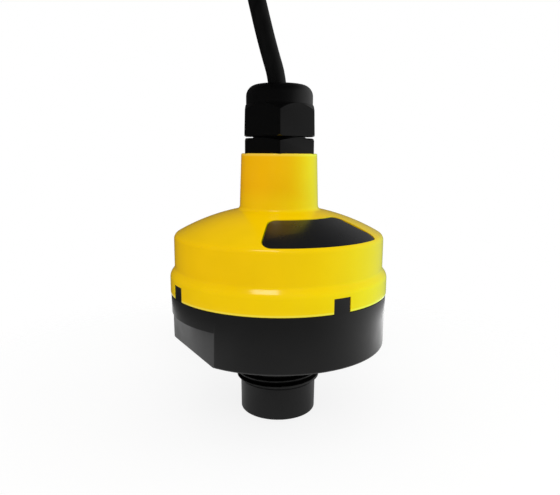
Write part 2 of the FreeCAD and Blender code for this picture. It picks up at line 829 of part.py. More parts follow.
def make_coil_tie():
    """A flat tie round the coil, with its head on the outside."""
    inner = s.cable_radius + s.coil_slack + s.tie_gap
    outer = inner + s.tie_thickness
    bottom = s.coil_lift - s.tie_gap
    top = s.coil_lift + s.coil_height + s.tie_gap
    body = new_body("coil_tie")
    loop = new_sketch(body, "loop", "XZ_Plane")
    outline(loop, [(-outer, bottom - s.tie_thickness), (outer, bottom - s.tie_thickness),
                   (outer, top + s.tie_thickness), (-outer, top + s.tie_thickness)])
    outline(loop, [(-inner, bottom), (inner, bottom), (inner, top), (-inner, top)])
    strap = extrude(body, loop, s.tie_width)
    strap.Midplane = True
    head = new_sketch(body, "head", "XZ_Plane")
    low = (bottom + top) / 2 - s.tie_head / 2
    high = low + s.tie_head
    near = outer - s.tie_thickness / 2
    far = outer + s.tie_head_depth
    outline(head, [(near, low), (far, low), (far, high), (near, high)])
    lock = extrude(body, head, s.tie_head_width)
    lock.Midplane = True
    angle = math.radians(s.tie_angle.number)
    place(body, s.coil_x + s.coil_radius * math.cos(angle), s.coil_y + s.coil_radius * math.sin(angle), 0.0)
    body.setExpression("Placement.Rotation.Yaw", s.tie_angle.formula)
    return keep("coil_tie", body)


def boss_places():
    """The four board fixings, on the diagonals."""
    diagonal = boss_circle * math.sqrt(0.5)
    return [(diagonal, diagonal), (-diagonal, diagonal), (-diagonal, -diagonal), (diagonal, -diagonal)]


def make_boards():
    """Two round boards on the base's bosses, with spacers between them and screws on top."""
    for node, radius, bottom in (("main_board", board_radius, board_bottom),
                                 ("power_board", board_radius - s.power_board_inset, power_bottom)):
        disc = cylinder(node + "_disc", radius, s.board_thickness, z=bottom)
        holes = [cylinder(f"{node}_hole_{index}", s.boss_circle_hole, s.board_thickness, x, y, bottom)
                 for index, (x, y) in enumerate(boss_places())]
        keep(node, minus(node + "_drilled", disc, holes))

    spacers = []
    screws = []
    shank_length = s.stud_length + s.board_thickness
    hole_depth = s.stud_length + s.stud_radius
    for index, (x, y) in enumerate(boss_places()):
        sides = doc.addObject("Part::Prism", f"spacer_sides_{index}")
        bind(sides, "Circumradius", s.spacer_half_flat * (2 / math.sqrt(3)))
        bind(sides, "Height", s.spacer_height)
        place(sides, x, y, board_top)
        stud = cylinder(f"spacer_stud_{index}", s.stud_radius, shank_length, x, y, board_top - shank_length)
        thread = cylinder(f"spacer_thread_{index}", s.boss_pilot, hole_depth, x, y, power_bottom - hole_depth)
        spacers.append(minus(f"spacer_{index}", plus(f"spacer_solid_{index}", [sides, stud]), [thread]))
        head = cylinder(f"screw_head_{index}", s.screw_head_radius, s.screw_head_height, x, y, power_top)
        shank = cylinder(f"screw_shank_{index}", s.stud_radius, shank_length, x, y, power_top - shank_length)
        screws.append(plus(f"screw_{index}", [head, shank]))
    keep("board_spacers", group("board_spacers_group", spacers))
    keep("board_screws", group("board_screws_group", screws))


def make_board_components():
    """What the boards carry."""
    chip = block("microcontroller_chip", s.chip_side, s.chip_side, s.chip_height,
                 s.chip_x, s.chip_y, board_top)
    keep("microcontroller", chip)

    core_bottom = board_top + s.core_foot_height
    core = block("transformer_core", s.core_side, s.core_side, s.core_height, s.core_x, 0.0, core_bottom)
    foot_reach = (s.core_side - s.core_foot_width) / 2
    feet = [block(f"transformer_foot_{index}", s.core_foot_width, s.core_side, s.core_foot_height,
                  s.core_x + foot_reach * side, 0.0, board_top) for index, side in enumerate((-1, 1))]
    keep("pulse_transformer", plus("transformer_solid", [core] + feet))

    cans = [cylinder(f"capacitor_{index}", s.can_radius, s.can_height, x, y, board_top)
            for index, (x, y) in enumerate(((s.can_x, s.can_y), (s.second_can_x, s.second_can_y)))]
    keep("filter_capacitors", group("filter_capacitors_group", cans))

    connector = block("connector_housing", s.connector_length, s.connector_width, s.spacer_height,
                      s.connector_x, s.connector_y, board_top)
    keep("board_connector", connector)
    regulator = block("regulator_case", s.regulator_length, s.regulator_width, s.regulator_height,
                      s.regulator_x, s.regulator_y, power_top)
    keep("voltage_regulator", regulator)

    disc = cylinder("suppressor_disc", s.suppressor_radius, s.suppressor_thickness)
    disc.Placement.Rotation = FreeCAD.Rotation(FreeCAD.Vector(1, 0, 0), 90)
    place(disc, s.suppressor_x, s.suppressor_y + s.suppressor_thickness / 2, power_top + s.suppressor_rise)
    legs = [cylinder(f"suppressor_leg_{index}", s.suppressor_leg, s.suppressor_rise,
                     s.suppressor_x + s.suppressor_pitch * side, s.suppressor_y, power_top)
            for index, side in enumerate((-0.5, 0.5))]
    keep("surge_suppressor", plus("suppressor_solid", [disc] + legs))


def terminal_places():
    return [s.terminal_pitch * (index - 1.5) for index in range(4)]


def make_terminals():
    """Terminal block on the power board, its clamp screws and the four conductors from the cable."""
    case = block("terminal_case", s.terminal_pitch * 4, s.terminal_depth, s.terminal_height, 0.0,
                 s.terminal_face + s.terminal_depth / 2, power_top)
    entry_height = power_top + s.terminal_entry
    well_y = s.terminal_face + s.well_set_back
    well_floor = power_top + s.terminal_height - s.well_depth
    well_radius = s.clamp_radius + s.clamp_gap
    holes = []
    screws = []
    for index, x in enumerate(terminal_places()):
        entry = cylinder(f"terminal_entry_{index}", s.entry_radius, s.entry_depth * 2)
        entry.Placement.Rotation = FreeCAD.Rotation(FreeCAD.Vector(1, 0, 0), -90)
        holes.append(place(entry, x, s.terminal_face - s.entry_depth, entry_height))
        holes.append(cylinder(f"terminal_well_{index}", well_radius, s.well_depth, x, well_y, well_floor))
        screws.append(cylinder(f"terminal_screw_{index}", s.clamp_radius, s.clamp_height,
                               x, well_y, well_floor))
    keep("terminal_block", minus("terminal_drilled", case, holes))
    keep("terminal_screws", group("terminal_screws_group", screws))

    jacket_end = neck_top - s.jacket_end
    corners = ((-1, 1), (-1, -1), (1, -1), (1, 1))
    wires = []
    for index, (x, (side, front)) in enumerate(zip(terminal_places(), corners)):
        start_x = s.conductor_spread * side
        start_y = s.conductor_spread * front
        route = [(start_x, start_y, jacket_end), (start_x, start_y, jacket_end - s.conductor_drop),
                 (x, s.conductor_bend, entry_height), (x, s.terminal_face + s.conductor_reach, entry_height)]
        wires.append(tube(f"conductor_{index}", numbers(route), s.conductor_radius))
    keep("inner_conductors", group("inner_conductors_group", wires))


def numbers(route):
    """A route's points as plain numbers."""
    return [tuple(number_of(value) for value in point) for point in route]


def make_transducer():
    """Piezo disc on its matching layer against the nose's face, with damping round and behind it."""
    layer_bottom = s.face_wall + s.seat_gap
    piezo_bottom = layer_bottom + s.layer_thickness + s.seat_gap
    piezo_top = piezo_bottom + s.piezo_height
    backing_bottom = piezo_top + s.seat_gap
    backing_top = backing_bottom + s.backing_height
    bore = spigot_bore - s.layer_gap
    keep("matching_layer", cylinder("matching_layer_disc", bore, s.layer_thickness, z=layer_bottom))
    keep("piezo_disc", cylinder("piezo_disc_solid", s.piezo_radius, s.piezo_height, z=piezo_bottom))
    make_washer("isolation_ring", s.piezo_radius + s.seat_gap, bore, piezo_bottom, s.piezo_height)

    backing = cylinder("backing_disc", bore, s.backing_height, z=backing_bottom)
    hole_radius = s.wire_radius + s.wire_gap
    holes = []
    leads = []
    for index, side in enumerate((-1, 1)):
        x = s.lead_hole_x * side
        y = s.lead_hole_y
        holes.append(cylinder(f"backing_hole_{index}", hole_radius, s.backing_height, x, y, backing_bottom))
        route = [(x, y, piezo_top), (x, y, piezo_top + s.wire_run),
                 (x * 2, y * 2, board_bottom - s.wire_run), (x * 2, y * 2, board_bottom)]
        leads.append(tube(f"transducer_lead_{index}", numbers(route), s.wire_radius))
    keep("backing_pad", minus("backing_drilled", backing, holes))
    keep("transducer_leads", group("transducer_leads_group", leads))

    probe_x = s.probe_radius + s.seat_gap - spigot_bore
    probe_bottom = backing_top + s.seat_gap
    probe_top = probe_bottom + s.probe_length
    probe = cylinder("temperature_probe", s.probe_radius, s.probe_length, probe_x, 0.0, probe_bottom)
    keep("temperature_sensor", probe)
    route = [(probe_x, 0.0, probe_top), (probe_x, 0.0, probe_top + s.wire_run),
             (s.sensor_end_x, s.sensor_end_y, board_bottom - s.wire_run),
             (s.sensor_end_x, s.sensor_end_y, board_bottom)]
    keep("sensor_lead", tube("sensor_lead_wire", numbers(route), s.wire_radius))


def make_seals():
    """Seals and washers: plain rings of square section, as they lie when pressed."""
    groove_bottom = joint + s.tongue_height - s.groove_drop - s.groove_width
    make_washer("housing_seal", tongue_radius - s.groove_depth + s.seat_gap, cover_bore - s.seat_gap,
                groove_bottom + s.seat_gap, s.groove_width - s.seat_gap * 2)
    make_washer("gland_washer", washer_bore, washer_radius, washer_seat, s.gland_washer_height)
    make_washer("gland_seal", s.cable_radius + s.seat_gap, chamber_radius - s.seat_gap * 2,
                seal_bottom, s.seal_height)
    make_washer("skid_washer", s.cable_radius + s.washer_bore_gap, s.gland_thread_radius - s.washer_inset,
                washer_bottom, s.washer_height)
    gasket_bore = s.thread_radius + s.gasket_gap
    make_washer("mounting_gasket", gasket_bore, gasket_bore + s.gasket_width,
                underside - s.gasket_height, s.gasket_height)


def check_document():
    """Stops if an object failed, a solid is broken or a cut took nothing away."""
    for item in doc.Objects:
        if "Invalid" in item.State or "Error" in item.State:
            raise ValueError(f"{item.Label} failed: {item.State}")
        if item.TypeId in ("PartDesign::Pocket", "PartDesign::Groove"):
            if item.Shape.Volume > item.BaseFeature.Shape.Volume - 0.01:
                raise ValueError(f"{item.Label} cuts nothing")
    for node, item in subparts.items():
        if item.Shape.isNull() or not item.Shape.isValid():
            raise ValueError(f"{node} has no valid shape")
        if not item.Shape.Solids:
            raise ValueError(f"{node} holds no solid")


make_base_housing()
make_top_cover()
make_front_panel()
make_gland_body()
make_gland_nut()
make_seals()
make_cable()
make_coil_tie()
make_boards()
make_board_components()
make_terminals()
make_transducer()
doc.recompute()
check_document()

os.makedirs("parts", exist_ok=True)
for node, item in subparts.items():
    item.Shape.exportStep(os.path.join("parts", node + ".step"))
    print(f"{node}: {len(item.Shape.Solids)} solid(s), {item.Shape.Volume:.1f} mm3")
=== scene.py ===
# %% [markdown]
# # An ultrasonic level transmitter
# This instrument screws into the top of a tank and measures the level below it with sound pulses.
# Outside it is a black base with a pipe thread, a yellow cover with a dark panel, a cable gland and a
# cable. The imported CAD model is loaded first, and stays as the frame that every piece is fitted to.
# So nothing is placed by eye: a new piece lies where its CAD solid lies.

# %% Load the frame
import json
import math

import bmesh
import bpy
from mathutils import Matrix, Vector


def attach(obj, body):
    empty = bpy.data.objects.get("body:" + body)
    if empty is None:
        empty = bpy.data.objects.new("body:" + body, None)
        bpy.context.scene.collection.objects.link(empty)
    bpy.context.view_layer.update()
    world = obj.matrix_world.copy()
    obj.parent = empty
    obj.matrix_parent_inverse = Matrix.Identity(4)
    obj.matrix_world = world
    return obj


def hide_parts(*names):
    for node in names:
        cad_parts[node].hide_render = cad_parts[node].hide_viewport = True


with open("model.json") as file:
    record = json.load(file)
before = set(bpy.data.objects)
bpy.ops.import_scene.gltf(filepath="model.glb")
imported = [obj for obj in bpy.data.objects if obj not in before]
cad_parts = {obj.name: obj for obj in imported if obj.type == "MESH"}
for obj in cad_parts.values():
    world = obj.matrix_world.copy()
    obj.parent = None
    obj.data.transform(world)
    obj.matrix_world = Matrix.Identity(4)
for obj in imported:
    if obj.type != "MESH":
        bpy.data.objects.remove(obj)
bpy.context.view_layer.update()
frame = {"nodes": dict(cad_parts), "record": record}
nodes = frame["nodes"]

# %% [markdown]
# ## The camera
# The photograph was taken from a little above the cover and well to the left of the dark panel.
# A camera could be aimed by eye, but the object's outline gives its place: a lens of 35 mm, about
# 0.21 m from the object's axis and 0.1 m up, looking down by ten degrees with a trace of roll.

# %% Camera
IMAGE_WIDTH = 560
FOCAL_PIXELS = 546.0
CAMERA_AZIMUTH = math.radians(-30.7)
CAMERA_DISTANCE = 0.2121
CAMERA_HEIGHT = 0.1025
CAMERA_PITCH = math.radians(9.91)
CAMERA_YAW = math.radians(-0.142)
CAMERA_ROLL = math.radians(0.36)

lens = bpy.data.cameras.new("camera")
lens.sensor_width = 36.0
lens.lens = FOCAL_PIXELS * lens.sensor_width / IMAGE_WIDTH
lens.clip_start = 0.01
camera = bpy.data.objects.new("camera", lens)
bpy.context.scene.collection.objects.link(camera)
heading = Matrix.Rotation(CAMERA_AZIMUTH + CAMERA_YAW, 4, "Z")
tilt = Matrix.Rotation(math.pi / 2 - CAMERA_PITCH, 4, "X")
roll = Matrix.Rotation(CAMERA_ROLL, 4, "Z")
stand = Vector((math.sin(CAMERA_AZIMUTH), -math.cos(CAMERA_AZIMUTH), 0)) * CAMERA_DISTANCE
stand.z = CAMERA_HEIGHT
camera.matrix_world = Matrix.Translation(stand) @ heading @ tilt @ roll
bpy.context.scene.camera = camera
print("camera at", tuple(round(c, 4) for c in stand), "lens", round(lens.lens, 2))

# %% [markdown]
# ## The cable's line
# A four-core cable leaves the gland upwards, bends over behind the object and lies there in a tied
# coil, where the object hides it. A chain of tubes would show its joints, so the cable is one NURBS
# spline: the CAD route's points are its control points, and the coil's turns are more of them.

# %% Cable route
CABLE_RADIUS = 3.425
CABLE_ROUTE = [
    (0.0, 0.0, 109.2), (0.0, 0.0, 127.0), (-3.3, 3.2, 141.2), (-4.6, 10.9, 162.0), (0.4, 27.7, 181.5),
    (12.1, 49.8, 192.5), (26.9, 72.4, 191.5), (41.9, 92.0, 179.5), (55.1, 104.5, 158.5),
    (65.4, 110.6, 133.5), (73.1, 113.0, 109.0), (77.5, 113.2, 87.5), (77.5, 112.8, 68.5),
    (71.4, 111.7, 50.4), (57.5, 109.4, 36.6), (37.3, 106.0, 30.6)]
COIL_CENTRE = Vector((42.9, 72.2, 0.0))
COIL_RADIUS = 34.25
COIL_START = 99.4
COIL_TOP = 30.6
COIL_BOTTOM = 4.825
COIL_TURNS = 3.7
POINTS_PER_TURN = 24
TAIL_RADIUS = 23.0
TAIL_END = 121.0 + 4 * 360


def coil_point(angle, radius, height):
    """A point of the coil, in millimetres, by its angle in degrees about the coil's axis."""
    turn = math.radians(angle)
    return (COIL_CENTRE.x + radius * math.cos(turn), COIL_CENTRE.y + radius * math.sin(turn), height)


def coil_points():
    """Control points of the turns, from the top down, and of the tail that tucks in under them."""
    step = 360.0 / POINTS_PER_TURN
    # The spline runs inside its control points, so these stand outside the turns by this factor.
    outside = 1 / (0.75 + 0.25 * math.cos(math.radians(step)))
    count = round(COIL_TURNS * POINTS_PER_TURN)
    points = []
    for index in range(1, count + 1):
        height = COIL_TOP + (COIL_BOTTOM - COIL_TOP) * index / count
        points.append(coil_point(COIL_START + index * step, COIL_RADIUS * outside, height))
    last = COIL_START + count * step
    tail_count = round((TAIL_END - last) / step)
    for index in range(1, tail_count + 1):
        share = index / tail_count
        radius = COIL_RADIUS + (TAIL_RADIUS - COIL_RADIUS) * share
        points.append(coil_point(last + (TAIL_END - last) * share, radius, COIL_BOTTOM))
    return points


print("cable control points:", len(CABLE_ROUTE) + len(coil_points()))

# %% [markdown]
# ### A spline as a round cord
# A curve object with a round bevel is a tube that stays smooth along its whole length. A mesh tube could
# follow the same points, but its rings would have to be placed one by one. One helper makes the empty
# curve, and another adds a run of points to it. The spline's order is set after its points are there,
# because set before them it isn't kept.

# %% A spline as a round cord
MILLIMETRE = 0.001


def metres(point):
    return Vector(point) * MILLIMETRE


def add_spline(curve, points, thickness=1.0, material_index=0):
    """One smooth run through control points in millimetres."""
    spline = curve.splines.new("NURBS")
    spline.points.add(len(points) - 1)
    for control, point in zip(spline.points, points):
        control.co = (*metres(point), 1)
        control.radius = thickness
    spline.order_u = 3
    spline.use_endpoint_u = True
    spline.resolution_u = 8
    spline.material_index = material_index


def cord_object(name, radius):
    """An empty curve with a round profile; its radius is in millimetres."""
    curve = bpy.data.curves.new(name, "CURVE")
    curve.dimensions = "3D"
    curve.bevel_depth = radius * MILLIMETRE
    curve.bevel_resolution = 5
    curve.use_fill_caps = True
    piece = bpy.data.objects.new(name, curve)
    bpy.context.scene.collection.objects.link(piece)
    return piece


print("the cable's first point in metres:", tuple(metres(CABLE_ROUTE[0])))

# %% [markdown]
# ## Finishes
# Moulded plastic is never one flat colour: the pigment is a little uneven, the gloss is patchy, and
# the mould leaves a fine grain. A photograph could be wrapped round the part, but it would stretch and
# repeat. Here noise at the real scale, in metres, drives the colour, the roughness and the bump.

# %% Noise and its range
def start_finish(name):
    """A new material, its node tree, its shader and the object's own coordinates."""
    material = bpy.data.materials.new(name)
    material.use_nodes = True
    tree = material.node_tree
    shader = tree.nodes["Principled BSDF"]
    place = tree.nodes.new("ShaderNodeTexCoord").outputs["Object"]
    return material, tree, shader, place


def noise(tree, place, scale, detail=2.0, stretch=None):
    """Noise with this many features in a metre, stretched along an axis if asked."""
    if stretch is not None:
        mapping = tree.nodes.new("ShaderNodeMapping")
        mapping.inputs["Scale"].default_value = stretch
        tree.links.new(place, mapping.inputs["Vector"])
        place = mapping.outputs["Vector"]
    texture = tree.nodes.new("ShaderNodeTexNoise")
    texture.inputs["Scale"].default_value = scale
    texture.inputs["Detail"].default_value = detail
    tree.links.new(place, texture.inputs["Vector"])
    return texture.outputs["Fac"]


def between(tree, value, low, high, start=0.3, end=0.7):
    """A value brought from the range between start and end to the range from low to high."""
    ranged = tree.nodes.new("ShaderNodeMapRange")
    ranged.inputs["From Min"].default_value = start
    ranged.inputs["From Max"].default_value = end
    ranged.inputs["To Min"].default_value = low
    ranged.inputs["To Max"].default_value = high
    tree.links.new(value, ranged.inputs["Value"])
    return ranged.outputs["Result"]


print("helpers for noise: start_finish, noise, between")

# %% [markdown]
# ### Colour, sums and grain
# Noise becomes a finish only when something is made of it. A ramp makes two tones of one colour, a sum
# lays two gloss patterns over each other, and a bump node makes a fine relief. Grain could be cut into
# the mesh, but it is finer than the faces, so the shader carries it.

# %% Colour, sums and grain
def feed(tree, socket, value):
    """Gives a socket a plain number, or links it to a node's output."""
    if isinstance(value, (int, float)):
        socket.default_value = value
    else:
        tree.links.new(value, socket)


def reckon(tree, operation, first, second):
    """A number worked out from two others, each a node's output or a plain number."""
    node = tree.nodes.new("ShaderNodeMath")
    node.operation = operation
    feed(tree, node.inputs[0], first)
    feed(tree, node.inputs[1], second)
    return node.outputs["Value"]


def two_tones(tree, value, first, second, start=0.35, end=0.65):
    """A colour that changes with a noise value from the first to the second."""
    ramp = tree.nodes.new("ShaderNodeValToRGB")
    ramp.color_ramp.elements[0].position = start
    ramp.color_ramp.elements[1].position = end
    ramp.color_ramp.elements[0].color = (*first, 1)
    ramp.color_ramp.elements[1].color = (*second, 1)
    tree.links.new(value, ramp.inputs["Fac"])
    return ramp.outputs["Color"]


def grain(tree, shader, height, strength, depth):
    """Bump from a height value; depth is in metres."""
    bump = tree.nodes.new("ShaderNodeBump")
    bump.inputs["Strength"].default_value = strength
    bump.inputs["Distance"].default_value = depth
    tree.links.new(height, bump.inputs["Height"])
    tree.links.new(bump.outputs["Normal"], shader.inputs["Normal"])


def shade(colour, factor):
    return tuple(channel * factor for channel in colour)


print("a tenth darker than mid grey:", shade((0.5, 0.5, 0.5), 0.9))

# %% [markdown]
# ### Moulded plastic
# Most of the object is moulded, in a bright yellow, in black with a satin skin, and in the gland's
# black nylon. Each could have nodes of its own, but one function that takes the colour, the gloss and the
# grain gives all of them the same build: uneven pigment, patchy gloss with a few rubbed places, and
# grain from the mould.

# %% Moulded plastic
PIGMENT_CLOUDS = 70
GLOSS_PATCHES = 160
GLOSS_SPREAD = 0.08
RUBBED_PLACES = 190
RUBBED_STRETCH = (1.0, 1.0, 0.2)
RUBBED_DULL = 0.05
RUBBED_FROM = 0.6
RUBBED_TO = 0.72
GRAIN_DEPTH = 0.00004


def moulded(name, colour, roughness, grain_scale, grain_strength, specular=0.5, mottle=0.05):
    """Moulded plastic; the grain's scale counts its bumps in a metre."""
    material, tree, shader, place = start_finish(name)
    clouds = noise(tree, place, PIGMENT_CLOUDS, 4)
    pigment = two_tones(tree, clouds, shade(colour, 1 - mottle), shade(colour, 1 + mottle))
    tree.links.new(pigment, shader.inputs["Base Color"])
    patches = between(tree, noise(tree, place, GLOSS_PATCHES, 3),
                      roughness * (1 - GLOSS_SPREAD), roughness * (1 + GLOSS_SPREAD))
    rubbing = noise(tree, place, RUBBED_PLACES, 5, RUBBED_STRETCH)
    rubbed = between(tree, rubbing, 0.0, RUBBED_DULL, RUBBED_FROM, RUBBED_TO)
    tree.links.new(reckon(tree, "ADD", patches, rubbed), shader.inputs["Roughness"])
    shader.inputs["Specular IOR Level"].default_value = specular
    grain(tree, shader, noise(tree, place, grain_scale, 2), grain_strength, GRAIN_DEPTH)
    return material


base_black = moulded("base_black", (0.0100, 0.0100, 0.0101), 0.33, 2600, 0.12)
# Lighter grey for the wrench flats; on the base's lower edge the same grey is a painted highlight.
flat_grey_and_edge_highlight = moulded("flat_grey_and_edge_highlight", (0.044, 0.044, 0.0445), 0.34, 3200, 0.10)
gland_black = moulded("gland_black", (0.0018, 0.0018, 0.0019), 0.3, 1800, 0.08, 0.55)
panel_black = moulded("panel_black", (0.011, 0.0112, 0.0124), 0.25, 900, 0.03, 0.45)
# Painted shade: a near-black matte finish for the thread's grooves, where the cup's shade falls.
groove_painted_shade = moulded("groove_painted_shade", (0.0012, 0.0012, 0.0012), 0.5, 2600, 0.12, 0.1)
tie_black = moulded("tie_black", (0.010, 0.010, 0.010), 0.4, 1600, 0.1, 0.4)
blacks = (base_black, flat_grey_and_edge_highlight, gland_black, panel_black, groove_painted_shade, tie_black)
print("black plastics:", [finish.name for finish in blacks])

# %% [markdown]
# ### The cover's yellow
# The yellow carries painted light and shade: it is painted lemon on the side towards the light, and a
# deeper, warmer colour on the far side and on the thick neck. The rim is painted a little more lemon, and
# painted highlights, a little paler, lie along the two open edges, at the rim and at the neck's top. A
# painted map could hold all this, but ramps do it without one: the first follows the way the surface faces,
# and the others follow its height.

# %% Ramps by side and height
def along(tree, place, azimuth):
    """How far a place or direction lies towards an azimuth."""
    dot = tree.nodes.new("ShaderNodeVectorMath")
    dot.operation = "DOT_PRODUCT"
    dot.inputs[1].default_value = (math.sin(azimuth), -math.cos(azimuth), 0)
    tree.links.new(place, dot.inputs[0])
    return dot.outputs["Value"]


def levels(tree, value, stops):
    """A grey level from (position, level) stops along a value from 0 to 1."""
    ramp = tree.nodes.new("ShaderNodeValToRGB")
    marks = ramp.color_ramp.elements
    marks[0].position = stops[0][0]
    marks[1].position = stops[-1][0]
    for position, _ in stops[1:-1]:
        marks.new(position)
    for mark, (_, level) in zip(marks, stops):
        mark.color = (level, level, level, 1)
    tree.links.new(value, ramp.inputs["Fac"])
    return ramp.outputs["Color"]


def height_of(tree, place):
    """The upward part of a place or direction."""
    split = tree.nodes.new("ShaderNodeSeparateXYZ")
    tree.links.new(place, split.inputs["Vector"])
    return split.outputs["Z"]


print("helpers for ramps: along, levels, height_of")

# %% Where the yellow changes
# Painted light and shade: by the way it faces, the yellow is painted lemon towards the lit side and deeper
# away from it.
LIT_SIDE_LEMON = [(0.02, 0.59), (0.35, 0.62), (0.5, 0.65), (0.65, 0.69),
            (0.75, 0.75), (0.85, 0.84), (0.93, 0.92), (1.0, 1.0)]
# Painted shade on the neck, lifted where the neck faces the lit side, and a little painted light on the rim.
NECK_FOOT = 0.084
NECK_BLEND = 0.006
NECK_PAINTED_SHADE = 0.86
NECK_LIT_FROM = 0.6
NECK_LIT_TO = 0.88
RIM_PAINTED_LIGHT = 1.06
RIM_TOP = 0.056
RIM_BLEND = 0.004
# Heights of the painted highlights along the rim's lower edge and the neck's top edge.
RIM_HIGHLIGHT_EDGE = 0.0501
NECK_HIGHLIGHT_EDGE = 0.1013
HIGHLIGHT_BLEND = 0.0004


def painted_edge_highlights(tree, height):
    """1 along the painted highlights at the rim's lower edge and the neck's upper edge, and 0 between them.
    """
    rim = between(tree, height, 1, 0, RIM_HIGHLIGHT_EDGE, RIM_HIGHLIGHT_EDGE + HIGHLIGHT_BLEND)
    neck = between(tree, height, 0, 1, NECK_HIGHLIGHT_EDGE - HIGHLIGHT_BLEND, NECK_HIGHLIGHT_EDGE)
    return reckon(tree, "MAXIMUM", rim, neck)


def painted_light_green(tree, facing, height):
    """How much green the yellow has, as painted light and shade: less is orange, more is lemon."""
    neck = between(tree, height, 1, NECK_PAINTED_SHADE, NECK_FOOT, NECK_FOOT + NECK_BLEND)
    lit_side = between(tree, facing, NECK_PAINTED_SHADE, 1, NECK_LIT_FROM, NECK_LIT_TO)
    rim = between(tree, height, RIM_PAINTED_LIGHT, 1, RIM_TOP, RIM_TOP + RIM_BLEND)
    by_height = reckon(tree, "MULTIPLY", reckon(tree, "MAXIMUM", neck, lit_side), rim)
    return reckon(tree, "MULTIPLY", levels(tree, facing, LIT_SIDE_LEMON), by_height)


print("the neck's colour blends over", round(NECK_BLEND / MILLIMETRE, 1), "mm")

# %% Cover finish
COVER_PIGMENT = (0.82, 0.82, 0.82)
# The direction of the lit side, where the yellow is painted lemon.
PAINTED_LIGHT_SIDE = math.radians(59)
# How much greener and bluer the painted edge highlights make the yellow.
HIGHLIGHT_GREEN = 1.2
HIGHLIGHT_BLUE = 0.055


# The cover's yellow, with painted light and shade and painted edge highlights worked into its colour.
def yellow_with_painted_light():
    material = moulded("cover_yellow", COVER_PIGMENT, 0.15, 1500, 0.05, 0.28, 0.02)
    tree = material.node_tree
    colour = tree.nodes["Principled BSDF"].inputs["Base Color"]
    pigment = colour.links[0].from_socket
    around = tree.nodes.new("ShaderNodeTexCoord").outputs
    facing = between(tree, along(tree, around["Normal"], PAINTED_LIGHT_SIDE), 0, 1, -1, 1)
    height = height_of(tree, around["Object"])
    edge_highlight = painted_edge_highlights(tree, height)
    highlight_tint = between(tree, edge_highlight, 1, HIGHLIGHT_GREEN, 0, 1)
    green = reckon(tree, "MULTIPLY", painted_light_green(tree, facing, height), highlight_tint)
    tint = tree.nodes.new("ShaderNodeCombineColor")
    tint.inputs["Red"].default_value = 1
    tree.links.new(green, tint.inputs["Green"])
    tree.links.new(between(tree, edge_highlight, 0, HIGHLIGHT_BLUE, 0, 1), tint.inputs["Blue"])
    mix = tree.nodes.new("ShaderNodeVectorMath")
    mix.operation = "MULTIPLY"
    tree.links.new(pigment, mix.inputs[0])
    tree.links.new(tint.outputs["Color"], mix.inputs[1])
    tree.links.new(mix.outputs["Vector"], colour)
    return material


cover_yellow = yellow_with_painted_light()
print("cover finish:", cover_yellow.name)

# %% [markdown]
# ### The cable's sheath
# The sheath is soft black plastic that was pressed through a die, so it has faint streaks along its
# length and a duller, more uneven gloss than the moulded parts. A striped picture could show them, but
# noise that is stretched along the cable's upright run never repeats.

# %% Cable sheath
SHEATH_STREAKS = 420
STREAK_STRETCH = (1.0, 1.0, 0.12)
SHEATH_DARK = (0.0025, 0.0025, 0.0025)
SHEATH_LIGHT = (0.0045, 0.0045, 0.0046)
SHEATH_PATCHES = 210
SHEATH_GRAIN = 1300
SHEATH_GRAIN_DEPTH = 0.00005


def cable_jacket_finish():
    material, tree, shader, place = start_finish("cable_jacket")
    streaks = noise(tree, place, SHEATH_STREAKS, 3, STREAK_STRETCH)
    tree.links.new(two_tones(tree, streaks, SHEATH_DARK, SHEATH_LIGHT), shader.inputs["Base Color"])
    patches = noise(tree, place, SHEATH_PATCHES, 3)
    tree.links.new(between(tree, patches, 0.48, 0.62), shader.inputs["Roughness"])
    shader.inputs["Specular IOR Level"].default_value = 0.4
    grain(tree, shader, noise(tree, place, SHEATH_GRAIN, 2), 0.15, SHEATH_GRAIN_DEPTH)
    return material


cable_jacket = cable_jacket_finish()
cable = cord_object("cable", CABLE_RADIUS)
cable.data.materials.append(cable_jacket)
add_spline(cable.data, CABLE_ROUTE + coil_points())
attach(cable, "housing")
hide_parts("signal_cable", "cable_coil")
print("sheath on", cable.name)

# %% [markdown]
# ### Metal
# The stripped ends of the cores are bright copper, and the spacers and screws inside are brass and
# steel. Drawing and machining leave lines that are too fine to model, so stretched noise varies the
# colour and the gloss instead.

# %% Metal
DRAWN_LINES = 900
LINE_STRETCH = (1.0, 1.0, 0.08)


def metal(name, colour, roughness):
    """Drawn or machined metal, with fine lines along its length."""
    material, tree, shader, place = start_finish(name)
    marks = noise(tree, place, DRAWN_LINES, 3, LINE_STRETCH)
    tree.links.new(two_tones(tree, marks, shade(colour, 0.92), colour), shader.inputs["Base Color"])
    tree.links.new(between(tree, marks, roughness * 0.8, roughness * 1.25), shader.inputs["Roughness"])
    shader.inputs["Metallic"].default_value = 1.0
    return material


strand_copper = metal("strand_copper", (0.86, 0.42, 0.24), 0.35)
print("metal:", strand_copper.name)

# %% [markdown]
# ## The bare leads
# At its far end the sheath is cut back and four coloured cores come out, each stripped for the
# terminals. They could be four tubes, but one curve object with a spline for each core and for each
# bare end keeps them together. A core's arc is split where its insulation stops.

# %% Leads
LEAD_RADIUS = 0.75
LEAD_SPREAD = 1.3
LEAD_BEND = 26.0
LEAD_REACH = 72.0
LEAD_DROP = 0.6
STRIPPED_FROM = 0.8
STRAND_THICKNESS = 0.6
# Each core: its side and rise in the sheath, how far it leans inwards, and its colour.
CORES = [(-1, -1, 7.0, "red", (0.5, 0.02, 0.015)), (-1, 1, 12.0, "brown", (0.11, 0.04, 0.018)),
         (1, -1, 2.0, "green", (0.02, 0.22, 0.06)), (1, 1, 4.5, "white", (0.72, 0.71, 0.67))]


